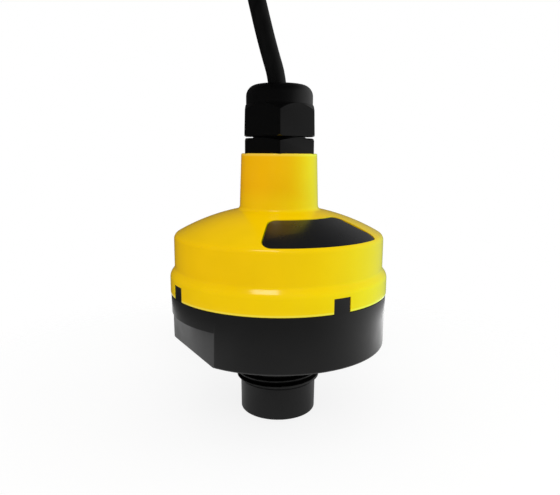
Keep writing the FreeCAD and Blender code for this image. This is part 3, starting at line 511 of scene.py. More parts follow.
def lead_points(side, rise, inwards):
    """Start, bend and end of one core, as in the CAD model."""
    radius = TAIL_RADIUS + side * LEAD_SPREAD
    height = COIL_BOTTOM + rise * LEAD_SPREAD
    start = coil_point(TAIL_END, radius, height)
    bend = coil_point(TAIL_END + LEAD_BEND, radius / math.cos(math.radians(LEAD_BEND)), height)
    low = COIL_BOTTOM + rise * LEAD_SPREAD * LEAD_DROP
    end = coil_point(TAIL_END + LEAD_REACH, radius - inwards, low)
    return Vector(start), Vector(bend), Vector(end)


leads = cord_object("bare_leads", LEAD_RADIUS)
leads.data.materials.append(strand_copper)
for number, (side, rise, inwards, word, colour) in enumerate(CORES, 1):
    start, bend, end = lead_points(side, rise, inwards)
    before = start.lerp(bend, STRIPPED_FROM)
    after = bend.lerp(end, STRIPPED_FROM)
    stop = before.lerp(after, STRIPPED_FROM)
    leads.data.materials.append(moulded(f"core_{word}", colour, 0.4, 1500, 0.1))
    add_spline(leads.data, [start, before, stop], 1.0, number)
    add_spline(leads.data, [stop, after, end], STRAND_THICKNESS, 0)
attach(leads, "housing")
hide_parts("cable_leads")
print("cores:", len(CORES))

# %% [markdown]
# ## Turned pieces
# The base, the cover and the gland are round. They could be stacked from cylinders, but a section that is
# turned about the axis, like work on a lathe, keeps each outline in one list. Sections are written in
# millimetres as corners with a rounding radius. Small real roundings matter most here: they carry the
# bright lines that make plastic look moulded.

# %% Sections with rounded corners
def rounded(corners, steps=5):
    """Points of a closed outline from corners (across, up, rounding)."""
    points = []
    for index, (x, z, size) in enumerate(corners):
        corner = Vector((x, z))
        if size == 0:
            points.append(corner)
            continue
        before = (Vector(corners[index - 1][:2]) - corner).normalized()
        after = (Vector(corners[(index + 1) % len(corners)][:2]) - corner).normalized()
        half = before.angle(after) / 2
        centre = corner + (before + after).normalized() * (size / math.sin(half))
        first = (corner + before * (size / math.tan(half)) - centre).normalized()
        last = (corner + after * (size / math.tan(half)) - centre).normalized()
        for step in range(steps + 1):
            points.append(centre + first.slerp(last, step / steps) * size)
    return points


print("points of a rounded square:", len(rounded([(0, 0, 1), (4, 0, 1), (4, 4, 1), (0, 4, 1)])))

# %% [markdown]
# ### Turning a section
# A section could be turned by Blender's Screw modifier, but the threads later need every row of points to
# lie at a known height. So the helper places the rings itself: one for each point of the section, or a
# single pole where the section meets the axis. Another helper, which the solids, the strap and the panel
# use too, lays the faces between two rings.

# %% Turning a section
SEGMENTS = 224
ON_AXIS = 1e-6


def to_object(name, mesh):
    """A bmesh in millimetres as an object, with its faces turned outwards."""
    bmesh.ops.recalc_face_normals(mesh, faces=mesh.faces)
    data = bpy.data.meshes.new(name)
    mesh.to_mesh(data)
    mesh.free()
    piece = bpy.data.objects.new(name, data)
    bpy.context.scene.collection.objects.link(piece)
    return piece


def bridge(mesh, lower, upper):
    """Faces between two loops of points, either of which may be a single pole."""
    count = max(len(lower), len(upper))
    for index in range(count if count > 1 else 0):
        following = (index + 1) % count
        corners = [lower[index % len(lower)], lower[following % len(lower)],
                   upper[following % len(upper)], upper[index % len(upper)]]
        mesh.faces.new(list(dict.fromkeys(corners)))


def lathe(name, section, segments=SEGMENTS):
    """A closed section in millimetres turned about Z; points on the axis become poles."""
    mesh = bmesh.new()
    rings = []
    for x, z in section:
        if x < ON_AXIS:
            rings.append([mesh.verts.new((0, 0, z))])
            continue
        turns = [2 * math.pi * index / segments for index in range(segments)]
        rings.append([mesh.verts.new((x * math.cos(a), x * math.sin(a), z)) for a in turns])
    for lower, upper in zip(rings, rings[1:] + rings[:1]):
        bridge(mesh, lower, upper)
    return to_object(name, mesh)


print("a turned piece has", SEGMENTS, "segments")

# %% [markdown]
# ## Cutting and joining
# Flats, tabs, notches and hexagons aren't round. They could be pulled out of the rings by hand, but
# upright solids that booleans cut from a turned piece or join to it keep their true sizes. The work is
# done in millimetres, because the exact solver is steadier there than in metres, and a finished piece is
# brought to metres at the end.

# %% Upright solids
def prism(name, outline, low, high, top_scale=1.0):
    """An upright solid over a plan outline in millimetres."""
    mesh = bmesh.new()
    bottom = [mesh.verts.new((x, y, low)) for x, y in outline]
    top = [mesh.verts.new((x * top_scale, y * top_scale, high)) for x, y in outline]
    mesh.faces.new(bottom)
    mesh.faces.new(top)
    bridge(mesh, bottom, top)
    return to_object(name, mesh)


def bar(near, far, half_width):
    """Plan outline of a bar that lies across the +X direction."""
    return [(near, -half_width), (far, -half_width), (far, half_width), (near, half_width)]


def sector(inner, outer, half_angle, count=10):
    """Plan outline of part of a ring about the +X direction; the angle is in degrees."""
    turns = [math.radians(half_angle * (2 * index / count - 1)) for index in range(count + 1)]
    far = [(outer * math.cos(a), outer * math.sin(a)) for a in turns]
    near = [(inner * math.cos(a), inner * math.sin(a)) for a in reversed(turns)]
    return far + near


def turned(outline, angle):
    """A plan outline turned about Z by an angle in degrees."""
    a = math.radians(angle)
    return [(x * math.cos(a) - y * math.sin(a), x * math.sin(a) + y * math.cos(a)) for x, y in outline]


print("points of a bar and of a sector:", len(bar(1, 2, 1)), len(sector(1, 2, 10)))

# %% [markdown]
# ### Booleans and soft edges
# A boolean is a modifier, and it could stay on the piece. Here each one is applied at once, so that the
# next step works on a plain mesh and the cutting solid can go. A bevel that is applied the same way rounds
# the edges that are left sharp.

# %% Booleans and soft edges
SOLVER = "EXACT"


def apply_modifiers(piece):
    """Keeps what the modifiers make as the piece's own mesh."""
    bpy.context.view_layer.update()
    graph = bpy.context.evaluated_depsgraph_get()
    made = bpy.data.meshes.new_from_object(piece.evaluated_get(graph))
    piece.modifiers.clear()
    piece.data = made


def combine(piece, other, operation):
    """Cuts, joins or intersects two solids, and removes the second."""
    modifier = piece.modifiers.new(operation.lower(), "BOOLEAN")
    modifier.operation = operation
    modifier.solver = SOLVER
    modifier.object = other
    apply_modifiers(piece)
    bpy.data.objects.remove(other)
    return piece


def soften(piece, width, angle=40.0, segments=2):
    """Rounds a piece's sharp edges by a width in millimetres."""
    modifier = piece.modifiers.new("edges", "BEVEL")
    modifier.width = width
    modifier.segments = segments
    modifier.limit_method = "ANGLE"
    modifier.angle_limit = math.radians(angle)
    apply_modifiers(piece)
    return piece


print("boolean solver:", SOLVER)

# %% [markdown]
# ### The finished piece
# Every piece ends in the same steps: it is brought to metres, shaded smooth up to an angle, and given its
# finish, the body that it rides on and the CAD node that it stands for. One helper does this for all of
# them, so no step is forgotten.

# %% A finished piece
SHARP_ANGLE = 32.0


def settle(piece, body, slot, finish, *replaced, sharp=SHARP_ANGLE):
    """Brings a piece from millimetres to metres, smooths it and gives it its finish and body."""
    piece.data.transform(Matrix.Scale(MILLIMETRE, 4))
    piece.data.shade_smooth()
    piece.data.set_sharp_from_angle(angle=math.radians(sharp))
    piece.data.materials.clear()
    piece.data.materials.append(finish)
    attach(piece, body)
    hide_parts(*replaced)
    print(piece.name, "faces:", len(piece.data.polygons))


print("edges stay sharp from", SHARP_ANGLE, "degrees")

# %% [markdown]
# ## The coil's tie
# A nylon tie holds the coil: a ribbed strap that goes once round the stacked turns, and a square head
# on the outside with the strap's end through it. A plain band would do for its shape, but the raised
# edges and the ribs between them are what make it read as a tie, so each station along the strap has
# its own section, and every second one is a rib.

# %% Strap stations and section
TIE_HALF_WIDTH = 2.4
TIE_INNER = 4.025
TIE_LOW = 1.2
TIE_HIGH = 34.2
TIE_THICKNESS = 1.1
TIE_CORNER = 3.0
TIE_CORNER_STEPS = 8
RIB_STEP = 0.45
RIB_SUNK = 0.1
GROOVE_SUNK = 0.3


def strap_stations():
    """Points round the inside of the strap, close enough together for its ribs."""
    bends = rounded([(-TIE_INNER, TIE_LOW, TIE_CORNER), (TIE_INNER, TIE_LOW, TIE_CORNER),
                     (TIE_INNER, TIE_HIGH, TIE_CORNER), (-TIE_INNER, TIE_HIGH, TIE_CORNER)], TIE_CORNER_STEPS)
    stations = []
    for here, there in zip(bends, bends[1:] + bends[:1]):
        count = max(1, round((there - here).length / RIB_STEP))
        stations += [here.lerp(there, index / count) for index in range(count)]
    return stations


def strap_section(rib):
    """Across and out from the strap's inner face: raised edges, with a rib or a groove between."""
    middle = TIE_THICKNESS - (RIB_SUNK if rib else GROOVE_SUNK)
    half = [(1.0, 0.0), (1.0, 0.6), (0.9, 0.95),
            (0.75, TIE_THICKNESS), (0.55, TIE_THICKNESS), (0.45, middle)]
    right = [(share * TIE_HALF_WIDTH, out) for share, out in half]
    left = [(-across, out) for across, out in reversed(right)]
    return right + left


print("strap stations:", len(strap_stations()))

# %% Tie strap
def make_strap():
    mesh = bmesh.new()
    stations = strap_stations()
    rings = []
    for index, here in enumerate(stations):
        run = stations[(index + 1) % len(stations)] - stations[index - 1]
        outward = Vector((run.y, -run.x)).normalized()
        ring = []
        for across, out in strap_section(index % 2 == 0):
            point = here + outward * out
            ring.append(mesh.verts.new((point.x, across, point.y)))
        rings.append(ring)
    for lower, upper in zip(rings, rings[1:] + rings[:1]):
        bridge(mesh, lower, upper)
    return to_object("tie", mesh)


tie = make_strap()
print("strap faces:", len(tie.data.polygons))

# %% [markdown]
# ### The tie's head
# The head is a small block with a slot, and the strap's end stands up through the slot. It could be drawn
# on the strap, but a real slot throws a real shadow. The three meshes are then one piece, which is
# turned and moved to its place on the coil.

# %% Tie head
TIE_ANGLE = 165.0
HEAD_NEAR = 4.6
HEAD_FAR = 8.2
HEAD_HALF_WIDTH = 3.3
HEAD_LOW = 15.1
HEAD_HIGH = 20.3
HEAD_EDGE = 0.3
SLOT_NEAR = 5.8
SLOT_FAR = 7.2
SLOT_HALF_WIDTH = 2.55
SLOT_PAST = 1.0
END_NEAR = 6.0
END_FAR = 7.0
END_HALF_WIDTH = 2.3
END_RISE = 0.4
END_UP = 4.5
END_EDGE = 0.25

head = prism("tie_head", bar(HEAD_NEAR, HEAD_FAR, HEAD_HALF_WIDTH), HEAD_LOW, HEAD_HIGH)
slot = prism("slot", bar(SLOT_NEAR, SLOT_FAR, SLOT_HALF_WIDTH), HEAD_LOW - SLOT_PAST, HEAD_HIGH + SLOT_PAST)
soften(combine(head, slot, "DIFFERENCE"), HEAD_EDGE)
end_plan = bar(END_NEAR, END_FAR, END_HALF_WIDTH)
strap_end = prism("strap_end", end_plan, HEAD_LOW + END_RISE, HEAD_HIGH + END_UP)
soften(strap_end, END_EDGE)
tie_parts = bmesh.new()
for part in (tie, head, strap_end):
    tie_parts.from_mesh(part.data)
tie_parts.to_mesh(tie.data)
tie_parts.free()
for part in (head, strap_end):
    bpy.data.objects.remove(part)
tie.data.transform(Matrix.Rotation(math.radians(TIE_ANGLE), 4, "Z"))
tie.data.transform(Matrix.Translation(Vector(coil_point(TIE_ANGLE, COIL_RADIUS, 0.0))))
settle(tie, "housing", "tie_nylon", tie_black, "coil_tie")

# %% [markdown]

# %% [markdown]
# ## The base
# The base is one black moulding: a plain nose that sends the sound, a 1 inch pipe thread, a broad cup
# with two wrench flats, and four tabs that key into the cover. The thread could be a boolean cut by a
# coil, but moving the section's own rows in and out along a helix gives a cleaner surface. A fine groove
# and a short cone lie under its first crest, and it runs out into a relief under the cup.

# %% Pipe thread
NOSE_TOP = 13.1
NOSE_RADIUS = 15.05
LEAD_IN_TOP = 13.8
RUN_IN = 0.7
RUN_OUT = 1.0
THREAD_RADIUS = 16.62
THREAD_TOP = 26.4
THREAD_PITCH = 2.309
THREAD_DEPTH = 1.35
CREST = 0.19
ROOT = 0.86
THREAD_START = 0.0365
SAME_RADIUS = 0.01


def thread_form(turn, height, pitch, start=0.0):
    """How far down a thread's flank a place is, from 0 on a crest to 1 in the root."""
    phase = (height / pitch - turn / (2 * math.pi) + start) % 1.0
    flank = abs(phase - 0.5) * 2
    return min(max((flank - CREST) / (ROOT - CREST), 0.0), 1.0)


def thread_surface(turn, height):
    """Radius of the thread's surface, which a short cone starts and the relief ends."""
    rise = min((height - NOSE_TOP) / (LEAD_IN_TOP - NOSE_TOP), 1.0)
    run_in = min(max((height - LEAD_IN_TOP) / RUN_IN, 0.0), 1.0)
    run_out = min((THREAD_TOP - height) / RUN_OUT, 1.0)
    cone = NOSE_RADIUS + (THREAD_RADIUS - NOSE_RADIUS) * rise
    form = thread_form(turn, height, THREAD_PITCH, THREAD_START)
    return cone - THREAD_DEPTH * form * min(run_in, run_out)


def shape_rows(piece, radius, surface):
    """Moves the points at a radius to the surface that a thread has at their turn and height."""
    for vertex in piece.data.vertices:
        x, y, z = vertex.co
        if abs(math.hypot(x, y) - radius) < SAME_RADIUS:
            factor = surface(math.atan2(y, x), z) / radius
            vertex.co = (x * factor, y * factor, z)


print("turns of thread:", round((THREAD_TOP - LEAD_IN_TOP) / THREAD_PITCH, 1))

# %% Base section
NOSE_FOOT = 14.9
NOSE_EDGE = 0.4
GROOVE_RADIUS = 14.75
GROOVE_BOTTOM = 12.5
GROOVE_EDGE = 0.15
THREAD_ROWS = 120
RELIEF_RADIUS = 15.1
BASE_RADIUS = 41.95
BASE_FOOT = 41.6
BASE_EDGE = 0.55
UNDERSIDE = 29.4
JOINT = 49.3
JOINT_EDGE = 0.2
TONGUE_RADIUS = 37.65
TONGUE_TOP = 64.2
TONGUE_EDGE = 0.3
SEAL_RADIUS = 36.05
SEAL_LOW = 60.5
SEAL_HIGH = 62.8
CUP_BORE = 33.9
CUP_FLOOR = 33.4
SPIGOT_BORE = 12.6
FACE_WALL = 2.0


def base_section():
    nose = rounded([(0, 0, 0), (NOSE_FOOT, 0, NOSE_EDGE), (NOSE_RADIUS, GROOVE_BOTTOM, GROOVE_EDGE),
                    (GROOVE_RADIUS, GROOVE_BOTTOM, 0), (GROOVE_RADIUS, NOSE_TOP, 0),
                    (NOSE_RADIUS, NOSE_TOP, 0)])
    step = (THREAD_TOP - NOSE_TOP) / THREAD_ROWS
    thread = [Vector((THREAD_RADIUS, NOSE_TOP + step * row)) for row in range(1, THREAD_ROWS + 1)]
    cup = rounded([(RELIEF_RADIUS, THREAD_TOP, 0), (RELIEF_RADIUS, UNDERSIDE, 0),
                   (BASE_FOOT, UNDERSIDE, BASE_EDGE), (BASE_RADIUS, JOINT, JOINT_EDGE),
                   (TONGUE_RADIUS, JOINT, 0), (TONGUE_RADIUS, SEAL_LOW, 0), (SEAL_RADIUS, SEAL_LOW, 0),
                   (SEAL_RADIUS, SEAL_HIGH, 0), (TONGUE_RADIUS, SEAL_HIGH, 0),
                   (TONGUE_RADIUS, TONGUE_TOP, TONGUE_EDGE), (CUP_BORE, TONGUE_TOP, TONGUE_EDGE),
                   (CUP_BORE, CUP_FLOOR, 0), (SPIGOT_BORE, CUP_FLOOR, 0), (SPIGOT_BORE, FACE_WALL, 0),
                   (0, FACE_WALL, 0)])
    return nose + thread + cup


base = lathe("base", base_section())
shape_rows(base, THREAD_RADIUS, thread_surface)
print("thread rows:", THREAD_ROWS, "pitch:", THREAD_PITCH)

# %% [markdown]
# ### Flats, tabs and skin
# A wrench holds the base by two flats, and four tabs stand up from its rim. The flats are cut and the tabs
# joined after the turning. Separate pieces would show seams, so three finishes then share the one mesh:
# the flats are a lighter grey, the lower edge gets the same grey as a painted highlight, the thread's
# grooves get a near-black painted shade, and all else, its crests too, has the moulded skin.

# %% Base flats and tabs
FLAT_DISTANCE = 36.9
FLAT_TOP = 42.1
CUT_REACH = 60.0
CUT_HALF_WIDTH = 45.0
CUT_LOW = 20.0
QUARTERS = (0, 90, 180, 270)
TAB_HALF_ANGLE = 4.5
TAB_BACK = 39.75
TAB_INSET = 0.02
TAB_ROOT = 0.6
TAB_TOP = 54.7
GAP = 0.15
for side in (0, 180):
    plan = turned(bar(FLAT_DISTANCE, CUT_REACH, CUT_HALF_WIDTH), side)
    combine(base, prism("flat_cut", plan, CUT_LOW, FLAT_TOP), "DIFFERENCE")
for side in QUARTERS:
    plan = turned(sector(TAB_BACK, BASE_RADIUS - TAB_INSET, TAB_HALF_ANGLE), side)
    combine(base, prism("tab", plan, JOINT - TAB_ROOT, TAB_TOP), "UNION")
settle(base, "housing", "base_black", base_black, "base_housing")

# %% Base skin
FLAT_NEAR = 0.02
FLAT_FACING = 0.99
FOOT_BAND = 0.6
FOOT_INSET = 0.5
ROOT_INSET = 1.0
CREST_BAND = 0.15


def skin_number(face):
    """0 for the moulded skin, 1 for the lighter flats and the painted highlight on the lower edge, 2 for the
    painted shade in the thread's grooves.
    """
    height = face.center.z / MILLIMETRE
    reach = face.center.xy.length / MILLIMETRE
    beside = abs(face.center.x) / MILLIMETRE
    on_flat = abs(beside - FLAT_DISTANCE) < FLAT_NEAR and abs(face.normal.x) > FLAT_FACING
    # The base's lower edge gets the lighter grey as a painted highlight.
    on_painted_edge_line = height < UNDERSIDE + FOOT_BAND and reach > BASE_FOOT - FOOT_INSET
    if on_flat or on_painted_edge_line:
        return 1
    # The thread's grooves get painted shade.
    in_groove = NOSE_RADIUS - ROOT_INSET < reach < THREAD_RADIUS - CREST_BAND
    return 2 if in_groove and NOSE_TOP < height < UNDERSIDE else 0


base.data.materials.append(flat_grey_and_edge_highlight)
base.data.materials.append(groove_painted_shade)
for face in base.data.polygons:
    face.material_index = skin_number(face)
skins = [face.material_index for face in base.data.polygons]
print("faces of each skin:", [skins.count(number) for number in range(3)])

# %% [markdown]
# ## The cover
# The cover is one yellow moulding: a stepped rim, a straight wall, a low dome and a tapered neck.
# A free curve could follow the dome, but it is part of a sphere, so its section is worked out from the
# sphere's radius. Four notches take the base's tabs, a shallow recess takes the dark panel, and a
# counterbore in the neck's top takes the gland's washer. Notches and recess are cut after the turning.

# %% Dome
DOME_RADIUS = 79.5
DOME_CENTRE = 2.9


def dome_height(radius, depth=0.0):
    """Height of the dome's sphere, or of one that lies some depth below it."""
    return DOME_CENTRE + math.sqrt((DOME_RADIUS - depth) ** 2 - radius ** 2)


def on_dome(radius, rounding=0.0):
    """A section's corner where the dome has this radius."""
    return (radius, dome_height(radius), rounding)


def dome_rows(start, end, depth, count):
    """Section points along the sphere."""
    radii = [start + (end - start) * index / count for index in range(count + 1)]
    return [Vector((radius, dome_height(radius, depth))) for radius in radii]


print("the dome's top would be at", round(dome_height(0), 2), "mm")

# %% Cover section
RIM_BOTTOM = 49.5
RIM_RADIUS = 42.15
RIM_EDGE = 0.35
STEP_LOW = 56.45
STEP_HIGH = 58.95
STEP_ROUND = 3.2
STEP_FILLET = 2.0
SHOULDER = 2.4
SHOULDER_AIM = 37.4
WALL_RADIUS = 40.4
COVER_BORE = 37.8
DOME_WALL = 2.5
DOME_OUTER = 38.2
DOME_INNER = 18.2
DOME_ROWS = 28
INSIDE_ROWS = 16
NECK_START = 17.5
NECK_RADIUS = 15.2
NECK_FILLET = 1.8
NECK_TOP_RADIUS = 14.5
NECK_TOP = 102.0
NECK_EDGE = 0.5
WASHER_RECESS = 12.55
WASHER_SEAT = 101.0
GLAND_HOLE = 10.05
ARC_STEPS = 8


def cover_section():
    rim = rounded([(COVER_BORE, RIM_BOTTOM, 0), (RIM_RADIUS, RIM_BOTTOM, RIM_EDGE),
                   (RIM_RADIUS, STEP_LOW, STEP_ROUND), (WALL_RADIUS, STEP_HIGH, STEP_FILLET),
                   on_dome(WALL_RADIUS)], ARC_STEPS)
    shoulder = rounded([(WALL_RADIUS, STEP_HIGH, 0), on_dome(WALL_RADIUS, SHOULDER),
                        on_dome(SHOULDER_AIM)], ARC_STEPS)
    dome = dome_rows(DOME_OUTER, DOME_INNER, 0, DOME_ROWS)
    neck = rounded([on_dome(NECK_START), on_dome(NECK_RADIUS, NECK_FILLET),
                    (NECK_TOP_RADIUS, NECK_TOP, NECK_EDGE), (WASHER_RECESS, NECK_TOP, 0)], ARC_STEPS)
    recess = [Vector((WASHER_RECESS, WASHER_SEAT)), Vector((GLAND_HOLE, WASHER_SEAT))]
    inside = dome_rows(GLAND_HOLE, COVER_BORE, DOME_WALL, INSIDE_ROWS)
    # The wall's corner and the dome's helper point only give the shoulder its directions.
    return rim[:-1] + shoulder[1:-1] + dome + neck + recess + inside


cover = lathe("cover", cover_section())
print("dome meets the wall at", round(dome_height(WALL_RADIUS), 2), "mm")

# %% [markdown]
# ## The panel
# On the real object a dark inlay lies in the dome, off to one side. Its outline is part of a ring with
# rounded corners. Rings of that outline, each smaller than the last and laid on the sphere, give a smooth
# crowned face and a rounded edge, which a flat boolean would not.

# %% Panel outline
PANEL_INNER = 22.5
PANEL_OUTER = 39.3
PANEL_ANGLE = 73.5
PANEL_TURN = -92.7
PANEL_CORNER = 3.4
PANEL_DEPTH = 1.0
PANEL_SINK = 0.1
CORNER_STEPS = 8
SIDE_STEPS = 30


def panel_corner(middle, swing, end, size, outside):
    """Arc of one rounded corner; the corner's centre is at this radius and swing from +X."""
    centre = Vector((middle * math.cos(end * swing), middle * math.sin(end * swing)))
    lean = math.degrees(math.asin(size / middle))
    facing = math.degrees(end * swing) + (0 if outside else 180)
    turn = 90 + lean if outside else 90 - lean
    entering = (end < 0) == outside
    first = facing - turn if entering else facing
    arc = [math.radians(first + turn * step / CORNER_STEPS) for step in range(CORNER_STEPS + 1)]
    return [(centre.x + size * math.cos(a), centre.y + size * math.sin(a)) for a in arc]


def panel_outline(grow):
    """The panel's plan outline about +X, grown or shrunk by a distance all round."""
    half = math.radians(PANEL_ANGLE / 2) + grow / PANEL_INNER
    size = PANEL_CORNER + grow
    points = []
    for radius, way in ((PANEL_OUTER + grow, 1), (PANEL_INNER - grow, -1)):
        middle = radius - way * size
        swing = half - math.asin(size / middle)
        points += panel_corner(middle, swing, -way, size, way > 0)
        for step in range(1, SIDE_STEPS):
            a = swing * way * (2 * step / SIDE_STEPS - 1)
            points.append((radius * math.cos(a), radius * math.sin(a)))
        points += panel_corner(middle, swing, way, size, way > 0)
    return points


print("panel outline points:", len(panel_outline(0)))

# %% Panel
PANEL_SEAT = 0.05
PANEL_FOOT = 0.1
PANEL_EDGE = [(0.0, 0.3), (-0.05, 0.14), (-0.15, 0.04), (-0.33, 0.0)]
CROWN_RINGS = 15


def panel_ring(mesh, grow, depth, shrink=1.0):
    """One loop of points over the panel's outline, laid on a sphere."""
    middle = Vector(((PANEL_INNER + PANEL_OUTER) / 2, 0))
    outline = [middle + (Vector(point) - middle) * shrink for point in panel_outline(grow)]
    loop = []
    for x, y in turned(outline, PANEL_TURN):
        loop.append(mesh.verts.new((x, y, dome_height(math.hypot(x, y), depth))))
    return loop


def make_panel():
    mesh = bmesh.new()
    bottom = PANEL_DEPTH + PANEL_SINK - PANEL_SEAT
    edge = [(-PANEL_FOOT, bottom), (0.0, bottom - PANEL_FOOT)]
    edge += [(grow, PANEL_SINK + depth) for grow, depth in PANEL_EDGE]
    rings = [panel_ring(mesh, grow, depth) for grow, depth in edge]
    for step in range(1, CROWN_RINGS):
        rings.append(panel_ring(mesh, edge[-1][0], PANEL_SINK, 1 - step / CROWN_RINGS))
    for lower, upper in zip(rings, rings[1:]):
        bridge(mesh, lower, upper)
    mesh.faces.new(rings[0])
    mesh.faces.new(rings[-1])
    return to_object("panel", mesh)


settle(make_panel(), "housing", "panel_black", panel_black, "front_panel")

# %% [markdown]
# ### Notches and recess
# The notches and the panel's recess are a little larger than what goes into them, because two mouldings
# never fit without a gap. A flat pocket would be deep in some places and open in others, so the recess
# follows the dome: it is the panel's outline, standing as a tall solid, kept only where it is above a
# sphere that lies deeper than the dome.

# %% Cover notches and recess
NOTCH_BACK = 39.6
NOTCH_GAP = 0.2
NOTCH_LOW = 45.0
CROWN_REACH = 45.0
CROWN_ROWS = 40
CROWN_SEGMENTS = 160
CROWN_TOP = 95.0
RECESS_LOW = 60.0
RECESS_HIGH = 92.0
for side in QUARTERS:
    plan = turned(sector(NOTCH_BACK, CUT_REACH, TAB_HALF_ANGLE + NOTCH_GAP), side)
    combine(cover, prism("notch", plan, NOTCH_LOW, TAB_TOP + GAP), "DIFFERENCE")
crown = dome_rows(CROWN_REACH, 0, PANEL_DEPTH + PANEL_SINK, CROWN_ROWS)
crown += [Vector((0, CROWN_TOP)), Vector((CROWN_REACH, CROWN_TOP))]
above = lathe("above", crown, CROWN_SEGMENTS)
recess = prism("recess", turned(panel_outline(GAP), PANEL_TURN), RECESS_LOW, RECESS_HIGH)
combine(cover, combine(recess, above, "INTERSECT"), "DIFFERENCE")
settle(cover, "housing", "cover_yellow", cover_yellow, "top_cover")

# %% [markdown]
# ## The cable gland
# The gland is black nylon: a low hexagon screwed down on the neck, and a nut with a tapered hexagon and
# a domed end. A bevelled prism would have straight edges, but a hexagon cut by a cone has the scalloped
# ones that nuts show. So the nut is the overlap of a prism and a turned blank, with a turned dome joined
# on top. The hexagon's upright corners are rounded in its plan outline, as moulded nylon has them.

# %% Hexagons and blanks
HEX_REACH = 17.0
HEX_CORNER = 0.5
HEX_CORNER_STEPS = 4
GLAND_SHARP = 24.0
FINE = 144


def hexagon(half_flat):
    """Plan outline of a hexagon with rounded corners, one of them on the X axis."""
    reach = half_flat * 2 / math.sqrt(3)
    turns = [math.radians(60 * index) for index in range(6)]
    return rounded([(reach * math.cos(a), reach * math.sin(a), HEX_CORNER) for a in turns],
                   HEX_CORNER_STEPS)


def turned_blank(name, points):
    return lathe(name, [Vector(point) for point in points], FINE)


print("hexagon points:", len(hexagon(1.0)))

# %% Gland nut
NUT_BOTTOM = 108.3
NUT_HEX_TOP = 120.0
NUT_TOP = 127.25
NUT_HALF_FLAT = 12.97
NUT_TAPER = 0.978
NUT_FOOT = 14.4
NUT_FOOT_RISE = 3.0
NUT_CROWN = 114.82
NUT_BLANK_LOW = 105.0
NUT_BLANK_HIGH = 121.0
NUT_DOME_LOW = 115.0
NUT_DOME_RADIUS = 12.6
NUT_SHOULDER = 4.3
NUT_SHOULDER_STEPS = 12
NUT_BORE = 10.06
BORE_TOP = 118.25
THROAT = 7.6
THROAT_RISE = 2.0
MOUTH = 6.7
LIP = 7.5
LIP_DEPTH = 0.8
LIP_PAST = 0.05
HOLE_LOW = 100.0
HOLE_HIGH = 135.0


def make_nut():
    nut = prism("gland_nut_cap", hexagon(NUT_HALF_FLAT), NUT_BOTTOM, NUT_HEX_TOP, NUT_TAPER)
    blank = [(0, NUT_BLANK_LOW), (NUT_FOOT, NUT_BLANK_LOW), (NUT_FOOT, NUT_BOTTOM),
             (HEX_REACH, NUT_BOTTOM + NUT_FOOT_RISE), (HEX_REACH, NUT_CROWN),
             (NUT_DOME_RADIUS, NUT_HEX_TOP), (NUT_DOME_RADIUS, NUT_BLANK_HIGH), (0, NUT_BLANK_HIGH)]
    combine(nut, turned_blank("blank", blank), "INTERSECT")
    dome = rounded([(0, NUT_DOME_LOW, 0), (NUT_DOME_RADIUS, NUT_DOME_LOW, 0),
                    (NUT_DOME_RADIUS, NUT_TOP, NUT_SHOULDER), (0, NUT_TOP, 0)],
                   NUT_SHOULDER_STEPS)
    combine(nut, turned_blank("dome", dome), "UNION")
    hole = [(0, HOLE_LOW), (NUT_BORE, HOLE_LOW), (NUT_BORE, BORE_TOP), (THROAT, BORE_TOP),
            (MOUTH, BORE_TOP + THROAT_RISE), (MOUTH, NUT_TOP - LIP_DEPTH), (LIP, NUT_TOP + LIP_PAST),
            (LIP, HOLE_HIGH), (0, HOLE_HIGH)]
    return combine(nut, turned_blank("hole", hole), "DIFFERENCE")


settle(make_nut(), "clamp_nut", "gland_black", gland_black, "gland_nut", sharp=GLAND_SHARP)

# %% [markdown]
# ### The gland's body
# Under the nut is the body that screws into the neck: a collar with a hexagon, and a stem that the nut
# turns on. The stem's thread shows only when the nut is up. A bump could suggest it, but it is made as the
# pipe thread was, by moving the stem's own rows in along a helix, so that the nut rises beside real turns.

# %% Stem thread
STEM_RADIUS = 10.0
STEM_LOW = 107.9
STEM_HIGH = 114.6
STEM_PITCH = 1.5
STEM_DEPTH = 0.85
STEM_RUN = 0.5


def stem_surface(turn, height):
    """Radius of the stem's surface, with a short run-in and run-out of its thread."""
    inside = min(height - STEM_LOW, STEM_HIGH - height)
    fade = min(max(inside / STEM_RUN, 0.0), 1.0)
    return STEM_RADIUS - STEM_DEPTH * thread_form(turn, height, STEM_PITCH) * fade


print("turns on the stem:", round((STEM_HIGH - STEM_LOW) / STEM_PITCH, 1))

# %% Gland body
HEX_TOP = 107.6
HEX_HALF_FLAT = 12.77
COLLAR_LOW = 100.0
COLLAR_HIGH = 110.0
COLLAR_CROWN = 105.51
COLLAR_TOP_RADIUS = 12.67
COLLAR_HOLE = 6.0
COLLAR_HOLE_LOW = 90.0
COLLAR_HOLE_HIGH = 112.0
STEM_END_RADIUS = 9.0
STEM_CHAMFER = 1.0
STEM_FOOT = 88.0
STEM_ROWS = 56
CABLE_HOLE = 4.3
SEAL_BORE = 6.3
SEAL_FLOOR = 108.6


